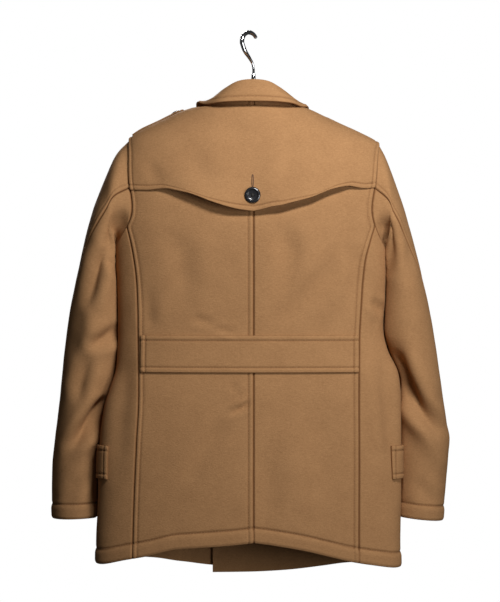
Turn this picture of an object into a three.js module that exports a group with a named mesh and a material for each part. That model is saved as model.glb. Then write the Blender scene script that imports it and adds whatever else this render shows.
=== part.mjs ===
// Pea coat on a hanger, seen closed and hanging. Millimetres, +Z up, the back of the coat faces -Y
// and +X is the wearer's right. The origin is the top of the inside of the hook, where a rail goes.
import * as THREE from 'three';

// Driving sizes
const WALL = 3; // melton and its lining
const EDGE = 0.2; // each piece stops this far short of its seam line
const OVERLAP = 72; // each front runs this far past the centre
const BREAK_Z = 95; // height where the lapels start to turn back
const SEAT_X = -7; // the hook's seat, in the coat's own frame
const SEAT_Z = 457;
const BUTTON_RADIUS = 13.5;
const SMALL_BUTTON_RADIUS = 10;

const COLOURS = { wool: 0xb58a5c, button: 0x26262a, wood: 0x6b4a30, chrome: 0xc8ccd0 };

const group = new THREE.Group();
const wool = new THREE.MeshStandardMaterial({ color: COLOURS.wool, roughness: 0.95, metalness: 0 });
const horn = new THREE.MeshStandardMaterial({ color: COLOURS.button, roughness: 0.35, metalness: 0 });
const wood = new THREE.MeshStandardMaterial({ color: COLOURS.wood, roughness: 0.5, metalness: 0 });
const chrome = new THREE.MeshStandardMaterial({ color: COLOURS.chrome, roughness: 0.15, metalness: 1 });

// Tables: named columns, a row for each section, read with a smooth curve between the rows
function table(names, rows) {
  return rows.map((row) => Object.fromEntries(names.map((name, i) => [name, row[i]])));
}

function read(rows, key, name, t) {
  const last = rows.length - 1;
  if (t <= rows[0][key]) return rows[0][name];
  if (t >= rows[last][key]) return rows[last][name];
  let i = 0;
  while (t > rows[i + 1][key]) i++;
  const slope = (k) => {
    const a = rows[Math.max(k - 1, 0)];
    const b = rows[Math.min(k + 1, last)];
    return (b[name] - a[name]) / (b[key] - a[key]);
  };
  const span = rows[i + 1][key] - rows[i][key];
  const s = (t - rows[i][key]) / span;
  const h = s * s * (3 - 2 * s);
  const value = rows[i][name] * (1 - h) + rows[i + 1][name] * h;
  const bend = slope(i) * s * (1 - s) * (1 - s) - slope(i + 1) * s * s * (1 - s);
  return value + bend * span;
}

// Body sections: half widths on the left and right, depths behind and in front of the side line,
// and how round the section is
const BODY = table(['z', 'left', 'right', 'back', 'front', 'round'], [
  [-490, 272, 254, 92, 100, 0.7],
  [-406, 271, 252, 92, 98, 0.7],
  [-340, 267.5, 253.5, 91, 95, 0.7],
  [-256, 265, 254, 88, 91, 0.7],
  [-187, 257, 253.5, 85, 88, 0.7],
  [-153, 247, 253, 83, 86, 0.7],
  [-119, 236, 248, 80, 84, 0.7],
  [-84, 233, 231.5, 78, 82, 0.7],
  [-50, 232, 223.5, 77, 81, 0.7],
  [0, 233.5, 226, 79, 83, 0.7],
  [44, 235.5, 228, 82, 85, 0.7],
  [88, 238.5, 228.5, 85, 87, 0.7],
  [125, 241.5, 232.5, 86, 87, 0.7],
  [160, 242, 236, 85, 86, 0.7],
  [200, 239, 233.5, 83, 82, 0.72],
  [240, 230, 225, 80, 75, 0.8],
  [262, 222, 219, 77, 69, 0.9],
  [269, 219, 216, 76, 67, 0.96],
  [278, 214, 203, 74, 64, 1.05],
  [294, 192, 171, 71, 58, 1.15],
  [308, 161, 140, 68, 53, 1.15],
  [322, 131, 110, 64, 47, 1.1],
  [335, 99, 88, 60, 40, 1.0],
  [346, 80, 76, 57, 34, 1.0],
]);

// Back seams and armholes, as distances from the centre line
const PRINCESS = table(['z', 'left', 'right'], [
  [-460, 206, 178],
  [-340, 203, 178],
  [-236, 198, 178],
  [-168, 194.5, 178],
  [-66, 196, 179.5],
  [0, 197, 183.5],
  [44, 200, 187],
  [75, 204.5, 190.5],
  [103, 210, 197.5],
  [126, 216, 204.5],
]);
const SIDE_SEAM = table(['z', 'left', 'right'], [
  [-470, 186, 172],
  [-190, 172, 164],
  [0, 160, 158],
  [100, 176, 172],
  [134, 198, 192],
]);
const ARMHOLE = table(['z', 'left', 'right'], [
  [82, 238.3, 228.5],
  [95, 235, 223],
  [109, 227, 215],
  [121, 219.5, 209.5],
  [132, 212.7, 205],
  [146, 207.6, 201.8],
  [160, 206.8, 201.4],
  [171, 207.4, 202.6],
  [200, 211.5, 207.6],
  [222, 213, 209.7],
  [240, 213.5, 211.7],
  [262, 214.5, 215],
  [278, 214, 216],
]);

// Hems by the angle round the coat, 0 on the wearer's side seam line, -90 at the centre back
const HEM = table(['angle', 'left', 'right'], [
  [-90, -406, -406],
  [-83, -410, -410],
  [-70, -415, -420],
  [-60, -419, -430],
  [-50, -429, -439],
  [-38, -437, -446],
  [-20, -447, -453],
  [0, -448, -454],
  [30, -447, -455],
  [50, -451, -460],
  [62, -459, -467],
  [75, -467, -474],
  [90, -470, -478],
  [110, -472, -479],
]);

// Neck edge from the centre back over the shoulder to the gorge
const NECK = table(['angle', 'z'], [
  [-90, 344],
  [-70, 343.5],
  [-50, 342.5],
  [-25, 339],
  [0, 334.5],
  [25, 329],
  [50, 316],
  [68, 300],
]);

const SIDES = {
  left: { sign: -1, name: 'left', other: 'right', tip: 277, under: 86, joint: 125 },
  right: { sign: 1, name: 'right', other: 'left', tip: 269, under: 82, joint: 120 },
};

const radians = THREE.MathUtils.degToRad;
const degrees = THREE.MathUtils.radToDeg;

// The body's surface: a side, an angle round that side and a height
function section(side, z, onOther) {
  return {
    width: read(BODY, 'z', onOther ? side.other : side.name, z),
    back: read(BODY, 'z', 'back', z),
    front: read(BODY, 'z', 'front', z),
    round: read(BODY, 'z', 'round', z),
  };
}

function bodyPoint(side, angle, z) {
  const across = Math.cos(radians(angle));
  const deep = Math.sin(radians(angle));
  const ring = section(side, z, across < 0);
  const depth = deep > 0 ? ring.front : ring.back;
  const y = Math.sign(deep) * depth * Math.abs(deep) ** ring.round;
  return new THREE.Vector3(side.sign * ring.width * across, y, z);
}

// The angle of a point at a distance x from the centre, negative x past it
function angleAt(side, x, z, face) {
  const ring = section(side, z, x < 0);
  const across = THREE.MathUtils.clamp(x / ring.width, -1, 1);
  return face * degrees(Math.acos(across));
}

// Zero on the body's surface, positive outside
function outside(p) {
  const side = p.x < 0 ? SIDES.left : SIDES.right;
  const ring = section(side, p.z, false);
  const depth = p.y > 0 ? ring.front : ring.back;
  return (p.x / ring.width) ** 2 + (Math.abs(p.y) / depth) ** (2 / ring.round) - 1;
}

function gradient(p) {
  const step = 0.5;
  const slope = new THREE.Vector3();
  for (const axis of ['x', 'y', 'z']) {
    const a = p.clone();
    const b = p.clone();
    a[axis] -= step;
    b[axis] += step;
    slope[axis] = (outside(b) - outside(a)) / (2 * step);
  }
  return slope;
}

const bodyNormal = (p) => gradient(p).normalize();
const raise = (p, normal, height) => p.clone().addScaledVector(normal, height);

// Pushes a point out until it is clear of the body by a given distance
function clear(p, distance) {
  const out = p.clone();
  for (let i = 0; i < 4; i++) {
    const slope = gradient(out);
    const gap = outside(out) / slope.length();
    if (gap < distance) out.addScaledVector(slope.normalize(), distance - gap);
  }
  return out;
}

// Height of the shoulder over a place
function shoulderHeight(x, y) {
  let low = 200;
  let high = 346;
  for (let i = 0; i < 30; i++) {
    const mid = (low + high) / 2;
    if (outside(new THREE.Vector3(x, y, mid)) < 0) low = mid;
    else high = mid;
  }
  return (low + high) / 2;
}

// Closed solids from grids of points
function addMesh(name, positions, indices, material) {
  const at = (i) => new THREE.Vector3().fromArray(positions, 3 * i);
  let volume = 0;
  for (let i = 0; i < indices.length; i += 3) {
    volume += at(indices[i]).dot(at(indices[i + 1]).cross(at(indices[i + 2])));
  }
  const order = volume < 0 ? indices.slice().reverse() : indices;
  const geometry = new THREE.BufferGeometry();
  geometry.setAttribute('position', new THREE.Float32BufferAttribute(positions, 3));
  geometry.setIndex(order);
  geometry.computeVertexNormals();
  const mesh = new THREE.Mesh(geometry, material);
  mesh.name = name;
  group.add(mesh);
}

function gridNormals(grid) {
  const last = grid.length - 1;
  const end = grid[0].length - 1;
  return grid.map((row, i) => row.map((p, j) => {
    const up = grid[Math.min(i + 1, last)][j].clone().sub(grid[Math.max(i - 1, 0)][j]);
    const across = row[Math.min(j + 1, end)].clone().sub(row[Math.max(j - 1, 0)]);
    return across.cross(up).normalize();
  }));
}

// Draws the rim of a grid in by the seam allowance
function inset(grid) {
  const toward = (p, q) => p.clone().addScaledVector(q.clone().sub(p).normalize(), EDGE);
  const rows = grid.map((row) => {
    const end = row.length - 1;
    return row.map((p, j) => {
      if (j === 0) return toward(p, row[1]);
      return j === end ? toward(p, row[end - 1]) : p.clone();
    });
  });
  const last = rows.length - 1;
  const first = rows[0].map((p, j) => toward(p, rows[1][j]));
  const final = rows[last].map((p, j) => toward(p, rows[last - 1][j]));
  return [first, ...rows.slice(1, last), final];
}

// A wall whose outer face is the grid and whose inner face lies a wall's thickness under it
function shell(name, grid, normals) {
  const outer = inset(grid);
  const inner = outer.map((row, i) => row.map((p, j) => raise(p, normals[i][j], -WALL)));
  const rows = grid.length;
  const columns = grid[0].length;
  const positions = [...outer.flat(), ...inner.flat()].flatMap((p) => p.toArray());
  const at = (layer, i, j) => layer * rows * columns + i * columns + j;
  const indices = [];
  const quad = (a, b, c, d) => indices.push(a, b, c, a, c, d);
  for (let i = 0; i < rows - 1; i++) {
    for (let j = 0; j < columns - 1; j++) {
      quad(at(0, i, j), at(0, i, j + 1), at(0, i + 1, j + 1), at(0, i + 1, j));
      indices.push(at(1, i, j), at(1, i + 1, j + 1), at(1, i, j + 1));
      indices.push(at(1, i, j), at(1, i + 1, j), at(1, i + 1, j + 1));
    }
  }
  for (let j = 0; j < columns - 1; j++) {
    quad(at(1, 0, j), at(1, 0, j + 1), at(0, 0, j + 1), at(0, 0, j));
    quad(at(0, rows - 1, j), at(0, rows - 1, j + 1), at(1, rows - 1, j + 1), at(1, rows - 1, j));
  }
  for (let i = 0; i < rows - 1; i++) {
    quad(at(0, i, 0), at(0, i + 1, 0), at(1, i + 1, 0), at(1, i, 0));
    quad(at(1, i, columns - 1), at(1, i + 1, columns - 1), at(0, i + 1, columns - 1), at(0, i, columns - 1));
  }
  addMesh(name, positions, indices, wool);
}

// A wall that follows the body: its points are [angle, z, height over the body]
function bodyShell(name, side, grid) {
  const points = grid.map((row) => row.map(([angle, z]) => bodyPoint(side, angle, z)));
  const normals = points.map((row) => row.map(bodyNormal));
  const raised = points.map((row, i) => row.map((p, j) => raise(p, normals[i][j], grid[i][j][2] ?? 0)));
  shell(name, raised, normals);
}

// Fills a patch between four edges; each edge is a list of places of equal length to its opposite
function patch(bottom, top, left, right) {
  const n = bottom.length - 1;
  const m = left.length - 1;
  return left.map((leftPlace, i) => bottom.map((bottomPlace, j) => {
    const u = j / n;
    const v = i / m;
    return bottomPlace.map((value, k) => {
      const ruled = (1 - v) * value + v * top[j][k] + (1 - u) * leftPlace[k] + u * right[i][k];
      const low = (1 - u) * bottom[0][k] + u * bottom[n][k];
      const high = (1 - u) * top[0][k] + u * top[n][k];
      return ruled - (1 - v) * low - v * high;
    });
  }));
}

// Places spread evenly, by their distance on the body, along a chain of places
function spread(side, chain, count) {
  const lengths = [0];
  for (let i = 1; i < chain.length; i++) {
    const a = bodyPoint(side, ...chain[i - 1]);
    const b = bodyPoint(side, ...chain[i]);
    lengths.push(lengths[i - 1] + a.distanceTo(b));
  }
  const total = lengths[chain.length - 1];
  return Array.from({ length: count + 1 }, (_, k) => {
    const goal = (total * k) / count;
    let i = 1;
    while (i < chain.length - 1 && lengths[i] < goal) i++;
    const s = (goal - lengths[i - 1]) / (lengths[i] - lengths[i - 1]);
    return chain[i].map((value, axis) => chain[i - 1][axis] * (1 - s) + value * s);
  });
}

// Values from one to another in equal steps
function steps(from, to, count) {
  return Array.from({ length: count + 1 }, (_, i) => from + ((to - from) * i) / count);
}

// Seams as places on the body
const BODY_ROWS = 14; // from the hem to the armhole
const ARM_ROWS = 6; // from there to the shoulder tip
const UNDER_COLUMNS = 12; // under the arm, from back seam to side seam
const SHOULDER_COLUMNS = 4;
const NECK_COLUMNS = 3;
const ROLL_COLUMNS = 8;
const FRONT_JOINT = 240; // where the side seam meets the armhole

// The armhole's rim: 0 at the shoulder tip, 90 at the back, 180 under the arm
function armhole(side, turn) {
  const middle = (side.tip + side.under) / 2;
  const half = (side.tip - side.under) / 2;
  const z = middle + half * Math.cos(radians(turn));
  const rise = Math.sin(radians(turn));
  if (Math.abs(rise) < 1e-6) return [0, z];
  const hollow = turn > 180 ? 4 * rise * rise : 0; // the front is cut further in
  const x = read(ARMHOLE, 'z', side.name, z) - hollow;
  return [angleAt(side, x, z, turn > 180 ? 1 : -1), z];
}

function turns(side) {
  const back = steps(0, side.joint, ARM_ROWS);
  const under = steps(side.joint, FRONT_JOINT, UNDER_COLUMNS).slice(1);
  const front = steps(FRONT_JOINT, 360, ARM_ROWS).slice(1);
  return [...back, ...under, ...front];
}

const rim = (side, from, to, count) => steps(from, to, count).map((turn) => armhole(side, turn));
const backTurns = (side) => rim(side, side.joint, 0, ARM_ROWS);
const frontTurns = (side) => rim(side, FRONT_JOINT, 360, ARM_ROWS);
const underTurns = (side) => rim(side, side.joint, FRONT_JOINT, UNDER_COLUMNS);

const HEM_LEVEL = -450; // about where the seams meet the hem
function seam(side, rows, face, end) {
  const hemX = read(rows, 'z', side.name, HEM_LEVEL);
  const hemAngle = angleAt(side, hemX, HEM_LEVEL, face);
  const bottom = read(HEM, 'angle', side.name, hemAngle);
  return steps(0, 1, BODY_ROWS).map((s, i) => {
    if (i === BODY_ROWS) return end;
    const z = bottom + (end[1] - bottom) * s;
    return [angleAt(side, read(rows, 'z', side.name, z), z, face), z];
  });
}

const princess = (side) => seam(side, PRINCESS, -1, armhole(side, side.joint));
const sideSeam = (side) => seam(side, SIDE_SEAM, 1, armhole(side, FRONT_JOINT));
const hem = (side, from, to, count) => (
  steps(from, to, count).map((angle) => [angle, read(HEM, 'angle', side.name, angle)])
);
const neckZ = (angle) => read(NECK, 'angle', 'z', angle);
const neck = (from, to, count) => steps(from, to, count).map((angle) => [angle, neckZ(angle)]);
const shoulder = (side) => steps(side.tip, neckZ(0), 8).map((z) => [0, z]);

// The roll line runs straight down the front from the gorge to the break at the front's edge
const GORGE = { angle: 68, x: 62, z: 300 };
const rollX = (z) => GORGE.x + ((z - GORGE.z) / (BREAK_Z - GORGE.z)) * (-OVERLAP - GORGE.x);
function rollLine(side) {
  return steps(GORGE.z, BREAK_Z, 12).map((z) => [angleAt(side, rollX(z), z, 1), z]);
}

function makeBack(side) {
  const seamSide = princess(side);
  const outerEdge = [...seamSide, ...backTurns(side).slice(1)];
  const centre = steps(HEM[0][side.name], NECK[0].z, BODY_ROWS + ARM_ROWS).map((z) => [-90, z]);
  const top = [
    ...spread(side, neck(-90, 0, 12), NECK_COLUMNS),
    ...spread(side, shoulder(side).reverse(), SHOULDER_COLUMNS).slice(1),
  ];
  const bottom = hem(side, -90, seamSide[0][0], NECK_COLUMNS + SHOULDER_COLUMNS);
  bodyShell(`back_${side.name}`, side, patch(bottom, top, centre, outerEdge));
}

function makeSide(side) {
  const back = princess(side);
  const front = sideSeam(side);
  const bottom = hem(side, back[0][0], front[0][0], UNDER_COLUMNS);
  bodyShell(`side_${side.name}`, side, patch(bottom, underTurns(side), back, front));
}

// The left front lies on the right one, a wall's thickness out
const LAYER = WALL + 2.4;
const LAYER_FADE = { x: 150, width: 45, z: 250, height: 40 }; // it meets the seams again out here
const ramp = (t) => {
  const s = THREE.MathUtils.clamp(t, 0, 1);
  return s * s * (3 - 2 * s);
};
function layer(side, angle, z) {
  if (side.sign > 0) return 0;
  const ring = section(side, z, false);
  const x = ring.width * Math.cos(radians(angle));
  const inward = ramp((LAYER_FADE.x - x) / LAYER_FADE.width);
  const downward = ramp((LAYER_FADE.z - z) / LAYER_FADE.height);
  return LAYER * inward * downward;
}

function makeFront(side) {
  const seamSide = sideSeam(side);
  const outerEdge = [...seamSide, ...frontTurns(side).slice(1)];
  const edgePlace = (z) => [angleAt(side, -OVERLAP, z, 1), z];
  const hemAngle = edgePlace(HEM_LEVEL)[0];
  const bottomZ = read(HEM, 'angle', side.name, hemAngle);
  const edge = steps(bottomZ, BREAK_Z, BODY_ROWS + ARM_ROWS).map(edgePlace);
  const rolled = [...neck(0, GORGE.angle, 8), ...rollLine(side).slice(1)];
  const top = [
    ...spread(side, shoulder(side), SHOULDER_COLUMNS),
    ...spread(side, rolled, ROLL_COLUMNS).slice(1),
  ];
  top[top.length - 1] = edge[edge.length - 1];
  const bottom = hem(side, seamSide[0][0], hemAngle, SHOULDER_COLUMNS + ROLL_COLUMNS);
  const grid = patch(bottom, top, outerEdge, edge);
  const raised = grid.map((row) => row.map(([angle, z]) => [angle, z, layer(side, angle, z)]));
  bodyShell(`front_${side.name}`, side, raised);
}

// Sleeves: a row for each ring, from the shoulder to the cuff
const SLEEVE = {
  left: table(['outerX', 'outerZ', 'innerX', 'innerZ', 'y', 'deep'], [
    [237, 251, 246, 92, 1, 58],
    [258, 205, 246, 83, 5, 64],
    [276, 160, 245, 73, 10, 69],
    [290, 112, 243, 61, 16, 72],
    [300, 68, 241, 45, 20, 73],
    [309, 25, 238, 22, 24, 73],
    [318, -15, 235.5, -15, 26, 71],
    [325, -60, 235, -55, 28, 69],
    [330, -100, 238, -92, 29, 66],
    [334, -140, 247, -128, 30, 64],
    [338, -178, 259, -162, 31, 62],
    [342, -210, 267, -193, 32, 60],
    [346, -243, 270, -228, 33, 59],
    [350, -280, 271, -270, 35, 57],
    [351, -318, 271, -312, 37, 55],
    [351, -350, 270, -347, 38, 54],
    [350, -377, 270, -373, 38, 53],
  ]),
  right: table(['outerX', 'outerZ', 'innerX', 'innerZ', 'y', 'deep'], [
    [228, 244, 237, 87, 1, 57],
    [245, 200, 236, 78, 5, 63],
    [261, 155, 235, 67, 10, 68],
    [275, 108, 233, 55, 16, 71],
    [287, 62, 231, 40, 20, 72],
    [297, 18, 229.5, 18, 24, 72],
    [306, -22, 227.5, -18, 26, 70],
    [313, -62, 227, -55, 28, 68],
    [319, -100, 241, -88, 29, 65],
    [325, -140, 257, -122, 30, 63],
    [331, -180, 262, -158, 31, 61],
    [336, -212, 260, -190, 32, 60],
    [341, -237, 257, -222, 33, 58],
    [339, -270, 256, -262, 35, 56],
    [336, -308, 256, -304, 37, 54],
    [333, -343, 255, -340, 38, 53],
    [330, -381, 255, -371, 38, 52],
  ]),
};

// The back seam of the sleeve turns from the armhole's back out to the arm's outer side
const SEAM_DRIFT = [80, 60, 44, 28, 12, 2, -6, -10];
const SPREAD_RINGS = 5; // the rim's uneven places become even over these rings
const TOP_COLUMNS = 10;
const BACK_SEAM = 4; // its place on the armhole's rim
const ROOT = 0.5; // the sleeve starts this far out from the armhole's edge

// The whole sleeve as one tube: a row of points for each ring, closed at the back seam
function sleeveTube(side) {
  const places = turns(side);
  const count = places.length - 1;
  const order = Array.from({ length: count + 1 }, (_, j) => BACK_SEAM + j);
  const rimTurns = order.map((k) => places[k % count] + (k >= count ? 360 : 0));
  const underCount = count - TOP_COLUMNS;
  const frontTurn = rimTurns[underCount];
  const edge = order.map((k) => bodyPoint(side, ...armhole(side, places[k % count])));
  const rings = SLEEVE[side.name].map((row, i) => {
    const drift = SEAM_DRIFT[Math.min(i + 1, SEAM_DRIFT.length - 1)];
    const blend = Math.min((i + 1) / SPREAD_RINGS, 1);
    const outer = new THREE.Vector3(side.sign * row.outerX, 0, row.outerZ);
    const inner = new THREE.Vector3(side.sign * row.innerX, 0, row.innerZ);
    const centre = outer.clone().add(inner).multiplyScalar(0.5);
    const reach = outer.clone().sub(centre);
    return rimTurns.map((turn, j) => {
      const isUnder = j <= underCount;
      const even = isUnder ? j / underCount : (j - underCount) / TOP_COLUMNS;
      const ends = isUnder ? [rimTurns[0], frontTurn] : [frontTurn, rimTurns[count]];
      const goals = isUnder ? [drift, frontTurn] : [frontTurn, 360 + drift];
      const share = even * blend + ((turn - ends[0]) / (ends[1] - ends[0])) * (1 - blend);
      const angle = radians(goals[0] + (goals[1] - goals[0]) * share);
      const p = centre.clone().addScaledVector(reach, Math.cos(angle));
      p.y = row.y - row.deep * Math.sin(angle);
      return p;
    });
  });
  const start = edge.map((p, j) => raise(p, rings[0][j].clone().sub(p).normalize(), ROOT));
  const grid = [start, ...rings];
  const padded = grid.map((row) => [row[count - 1], ...row, row[1]]);
  const normals = gridNormals(padded).map((row) => (
    row.slice(1, -1).map((n) => n.multiplyScalar(side.sign))
  ));
  normals[0] = edge.map(bodyNormal);
  return { grid, normals, underCount };
}

function makeSleeve(side) {
  const { grid, normals, underCount } = sleeveTube(side);
  const cut = (rows, from, to) => rows.map((row) => row.slice(from, to));
  shell(`under_sleeve_${side.name}`, cut(grid, 0, underCount + 1), cut(normals, 0, underCount + 1));
  shell(`top_sleeve_${side.name}`, cut(grid, underCount), cut(normals, underCount));
}

// Storm flap: its free edge dips to a point at the centre and stands off the back between its ends
const FLAP_EDGE = {
  left: table(['x', 'z', 'off'], [
    [0, 150, 5], [22, 152.5, 8], [39, 156, 12], [56, 161, 14], [73, 167, 14], [90, 174, 13], [107, 180, 11],
    [124, 184, 8], [141, 188, 5], [158, 188.5, 2], [175, 187, 0.5], [209, 188, 0],
  ]),
  right: table(['x', 'z', 'off'], [
    [0, 150, 5], [11, 152, 7], [28, 156.5, 10], [44, 159, 12], [61, 163.5, 12], [78, 168, 11], [95, 173, 11],
    [112, 180, 10], [128, 186.5, 9], [146, 191, 7], [160, 193, 4], [184, 190, 1], [207, 192, 0],
  ]),
};
const FLAP_LIFT = 2.4; // under the flap where it lies flat
const FLAP_TOP_Z = 331;
const FLAP_ROWS = 10;
const FLAP_COLUMNS = 9;
const FLAP_TOP_COLUMNS = 4; // of these, along the neck
const RIDGE_ANGLE = -2; // the flap stops this far behind the shoulder's ridge

function flapHalf(side) {
  const edge = FLAP_EDGE[side.name];
  const endZ = edge[edge.length - 1].z;
  const rimTurn = degrees(Math.acos((2 * endZ - side.tip - side.under) / (side.tip - side.under)));
  const ends = rim(side, rimTurn, -RIDGE_ANGLE, FLAP_ROWS);
  const reach = bodyPoint(side, ...ends[0]).x * side.sign;
  const bottom = steps(0, 1, FLAP_COLUMNS).map((s) => {
    const x = reach * s;
    const z = s === 1 ? ends[0][1] : read(edge, 'x', 'z', x);
    return [angleAt(side, x, z, -1), z];
  });
  const centre = steps(bottom[0][1], FLAP_TOP_Z, FLAP_ROWS).map((z) => [-90, z]);
  const across = [-90, -45, RIDGE_ANGLE].map((angle) => [angle, FLAP_TOP_Z]);
  const ridge = steps(FLAP_TOP_Z, ends[FLAP_ROWS][1], 6).map((z) => [RIDGE_ANGLE, z]);
  const top = [
    ...spread(side, across, FLAP_TOP_COLUMNS),
    ...spread(side, ridge, FLAP_COLUMNS - FLAP_TOP_COLUMNS).slice(1),
  ];
  top[FLAP_COLUMNS] = ends[FLAP_ROWS];
  return patch(bottom, top, centre, ends).map((row, i) => row.map(([angle, z], j) => {
    const p = bodyPoint(side, angle, z);
    const fade = (1 - i / FLAP_ROWS) ** 2;
    const off = read(edge, 'x', 'off', Math.abs(p.x)) * fade;
    return { p, height: FLAP_LIFT + off + WALL };
  }));
}

function makeFlap() {
  const left = flapHalf(SIDES.left);
  const right = flapHalf(SIDES.right);
  const grid = left.map((row, i) => [...row.slice().reverse(), ...right[i].slice(1)]);
  const normals = grid.map((row) => row.map(({ p }) => bodyNormal(p)));
  const raised = grid.map((row, i) => row.map(({ p, height }, j) => raise(p, normals[i][j], height)));
  shell('storm_flap', raised, normals);
}

// The half belt lies across the waist
const BELT = { left: 190, right: 177, bottomZ: -121, topZ: -58, lift: 1.6, columns: 10, rows: 3 };
function makeBelt() {
  const half = (side) => steps(0, BELT[side.name], BELT.columns);
  const places = [
    ...half(SIDES.left).reverse().map((x) => [SIDES.left, x]),
    ...half(SIDES.right).slice(1).map((x) => [SIDES.right, x]),
  ];
  const grid = steps(BELT.bottomZ, BELT.topZ, BELT.rows).map((z) => (
    places.map(([side, x]) => bodyPoint(side, angleAt(side, x, z, -1), z))
  ));
  const normals = grid.map((row) => row.map(bodyNormal));
  const raised = grid.map((row, i) => row.map((p, j) => raise(p, normals[i][j], BELT.lift + WALL)));
  shell('half_belt', raised, normals);
}

// Pocket flaps wrap from the front round the side
const POCKET = { topZ: -246, bottomZ: -303, fromAngle: -22, toX: 157, lift: 1.2, columns: 14, rows: 2 };
function makePocketFlap(side) {
  const end = angleAt(side, POCKET.toX, POCKET.topZ, 1);
  const chain = steps(POCKET.fromAngle, end, 40).map((angle) => [angle, POCKET.topZ]);
  const top = spread(side, chain, POCKET.columns);
  const grid = steps(POCKET.bottomZ, POCKET.topZ, POCKET.rows).map((z) => (
    top.map(([angle]) => [angle, z, POCKET.lift + WALL])
  ));
  bodyShell(`pocket_flap_${side.name}`, side, grid);
}

// Lapels lie back on the fronts, outside the roll line; the right one shows only above the crossing
const LAPEL = { tipX: 122, tipZ: 252, topZ: GORGE.z - 3, besideRoll: 1, rows: 8, columns: 5 };
const LAPEL_SHAPE = {
  left: { lift: 1.3, belly: 16, lowZ: BREAK_Z + 4, lowOuter: [rollX(BREAK_Z + 4) + 8, BREAK_Z + 4] },
  right: { lift: 0.7, belly: 8, lowZ: 207, lowOuter: [50, 146] },
};
function makeLapel(side) {
  const { lift, belly, lowZ, lowOuter } = LAPEL_SHAPE[side.name];
  const inner = steps(lowZ, LAPEL.topZ, LAPEL.rows).map((z) => [rollX(z) + LAPEL.besideRoll, z]);
  const outer = steps(0, 1, LAPEL.rows).map((s) => [
    lowOuter[0] + (LAPEL.tipX - lowOuter[0]) * s + belly * Math.sin(Math.PI * s),
    lowOuter[1] + (LAPEL.tipZ - lowOuter[1]) * s,
  ]);
  const line = (from, to) => steps(0, 1, LAPEL.columns).map((s) => [
    from[0] + (to[0] - from[0]) * s,
    from[1] + (to[1] - from[1]) * s,
  ]);
  const bottom = line(outer[0], inner[0]);
  const top = line(outer[LAPEL.rows], inner[LAPEL.rows]);
  const grid = patch(bottom, top, outer, inner).map((row) => row.map(([x, z]) => {
    const angle = angleAt(side, x, z, 1);
    return [angle, z, layer(side, angle, z) + lift + WALL];
  }));
  bodyShell(`lapel_${side.name}`, side, grid);
}

// Collar: stations from the centre back round the neck, the same on both sides
const COLLAR = table(['angle', 'foldX', 'foldY', 'foldZ', 'edgeX', 'edgeY', 'edgeZ'], [
  [-90, 0, -64, 374.5, 0, -78, 336.5],
  [-66, 25, -61, 372, 26, -77, 336.5],
  [-46, 46, -53, 361.5, 52, -71, 336],
  [-28, 62, -41, 352, 76, -58, 334],
  [-12, 74, -22, 345, 94, -34, 331],
  [2, 79, 0, 341, 103, -6, 330],
  [18, 76, 22, 336, 104, 22, 322],
  [36, 68, 42, 325, 99, 46, 302],
  [52, 61, 54, 311, 92, 62, 282],
]);
const COLLAR_CLEAR = FLAP_LIFT + WALL + 1.3 + WALL; // the fall's outer face over the back
// The stand's edges from the neck seam and the fold, and the fall's turn over the fold
const STAND = { footIn: 6, footUp: 0.6, topIn: 4.4, topDown: 6.8 };
const FALL = { backIn: 4.4, backDown: 0.9, browOut: 2.6, browDown: 2.2 };
const FALL_BULGE = { middle: 0.45, middleOut: 2, middleUp: 1.5, lower: 0.78, lowerOut: 1.2 };

function collarStations() {
  const half = (side) => COLLAR.map((row) => {
    const foot = bodyPoint(side, row.angle, neckZ(row.angle));
    const fold = new THREE.Vector3(side.sign * row.foldX, row.foldY, row.foldZ);
    const edge = new THREE.Vector3(side.sign * row.edgeX, row.edgeY, row.edgeZ);
    const away = foot.clone().setZ(0).normalize();
    return { foot, fold, edge, away };
  });
  return [...half(SIDES.left).reverse(), ...half(SIDES.right).slice(1)];
}

// Normals of a grid with a row for each station, turned to point backward at the centre back
function backwardNormals(grid) {
  const normals = gridNormals(grid);
  const centre = normals[Math.floor(grid.length / 2)];
  const sign = centre[centre.length - 1].y < 0 ? 1 : -1;
  return normals.map((line) => line.map((n) => n.multiplyScalar(sign)));
}

function makeCollar() {
  const stations = collarStations();
  const standGrid = stations.map(({ foot, fold, away }) => {
    const low = raise(foot, away, -STAND.footIn).setZ(foot.z + STAND.footUp);
    const top = raise(fold, away, -STAND.topIn).setZ(fold.z - STAND.topDown);
    return [low, low.clone().lerp(top, 0.5), top];
  });
  shell('collar_stand', standGrid, backwardNormals(standGrid));

  const fallGrid = stations.map(({ fold, edge, away }) => {
    const brow = raise(fold, away, FALL.browOut).setZ(fold.z - FALL.browDown);
    const back = raise(fold, away, -FALL.backIn).setZ(fold.z - FALL.backDown);
    const middle = raise(brow.clone().lerp(edge, FALL_BULGE.middle), away, FALL_BULGE.middleOut);
    middle.z += FALL_BULGE.middleUp;
    const lower = raise(brow.clone().lerp(edge, FALL_BULGE.lower), away, FALL_BULGE.lowerOut);
    const outer = [brow, middle, lower, edge].map((p) => clear(p, COLLAR_CLEAR));
    return [back, fold, ...outer];
  });
  shell('collar_fall', fallGrid, backwardNormals(fallGrid));
}

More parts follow.
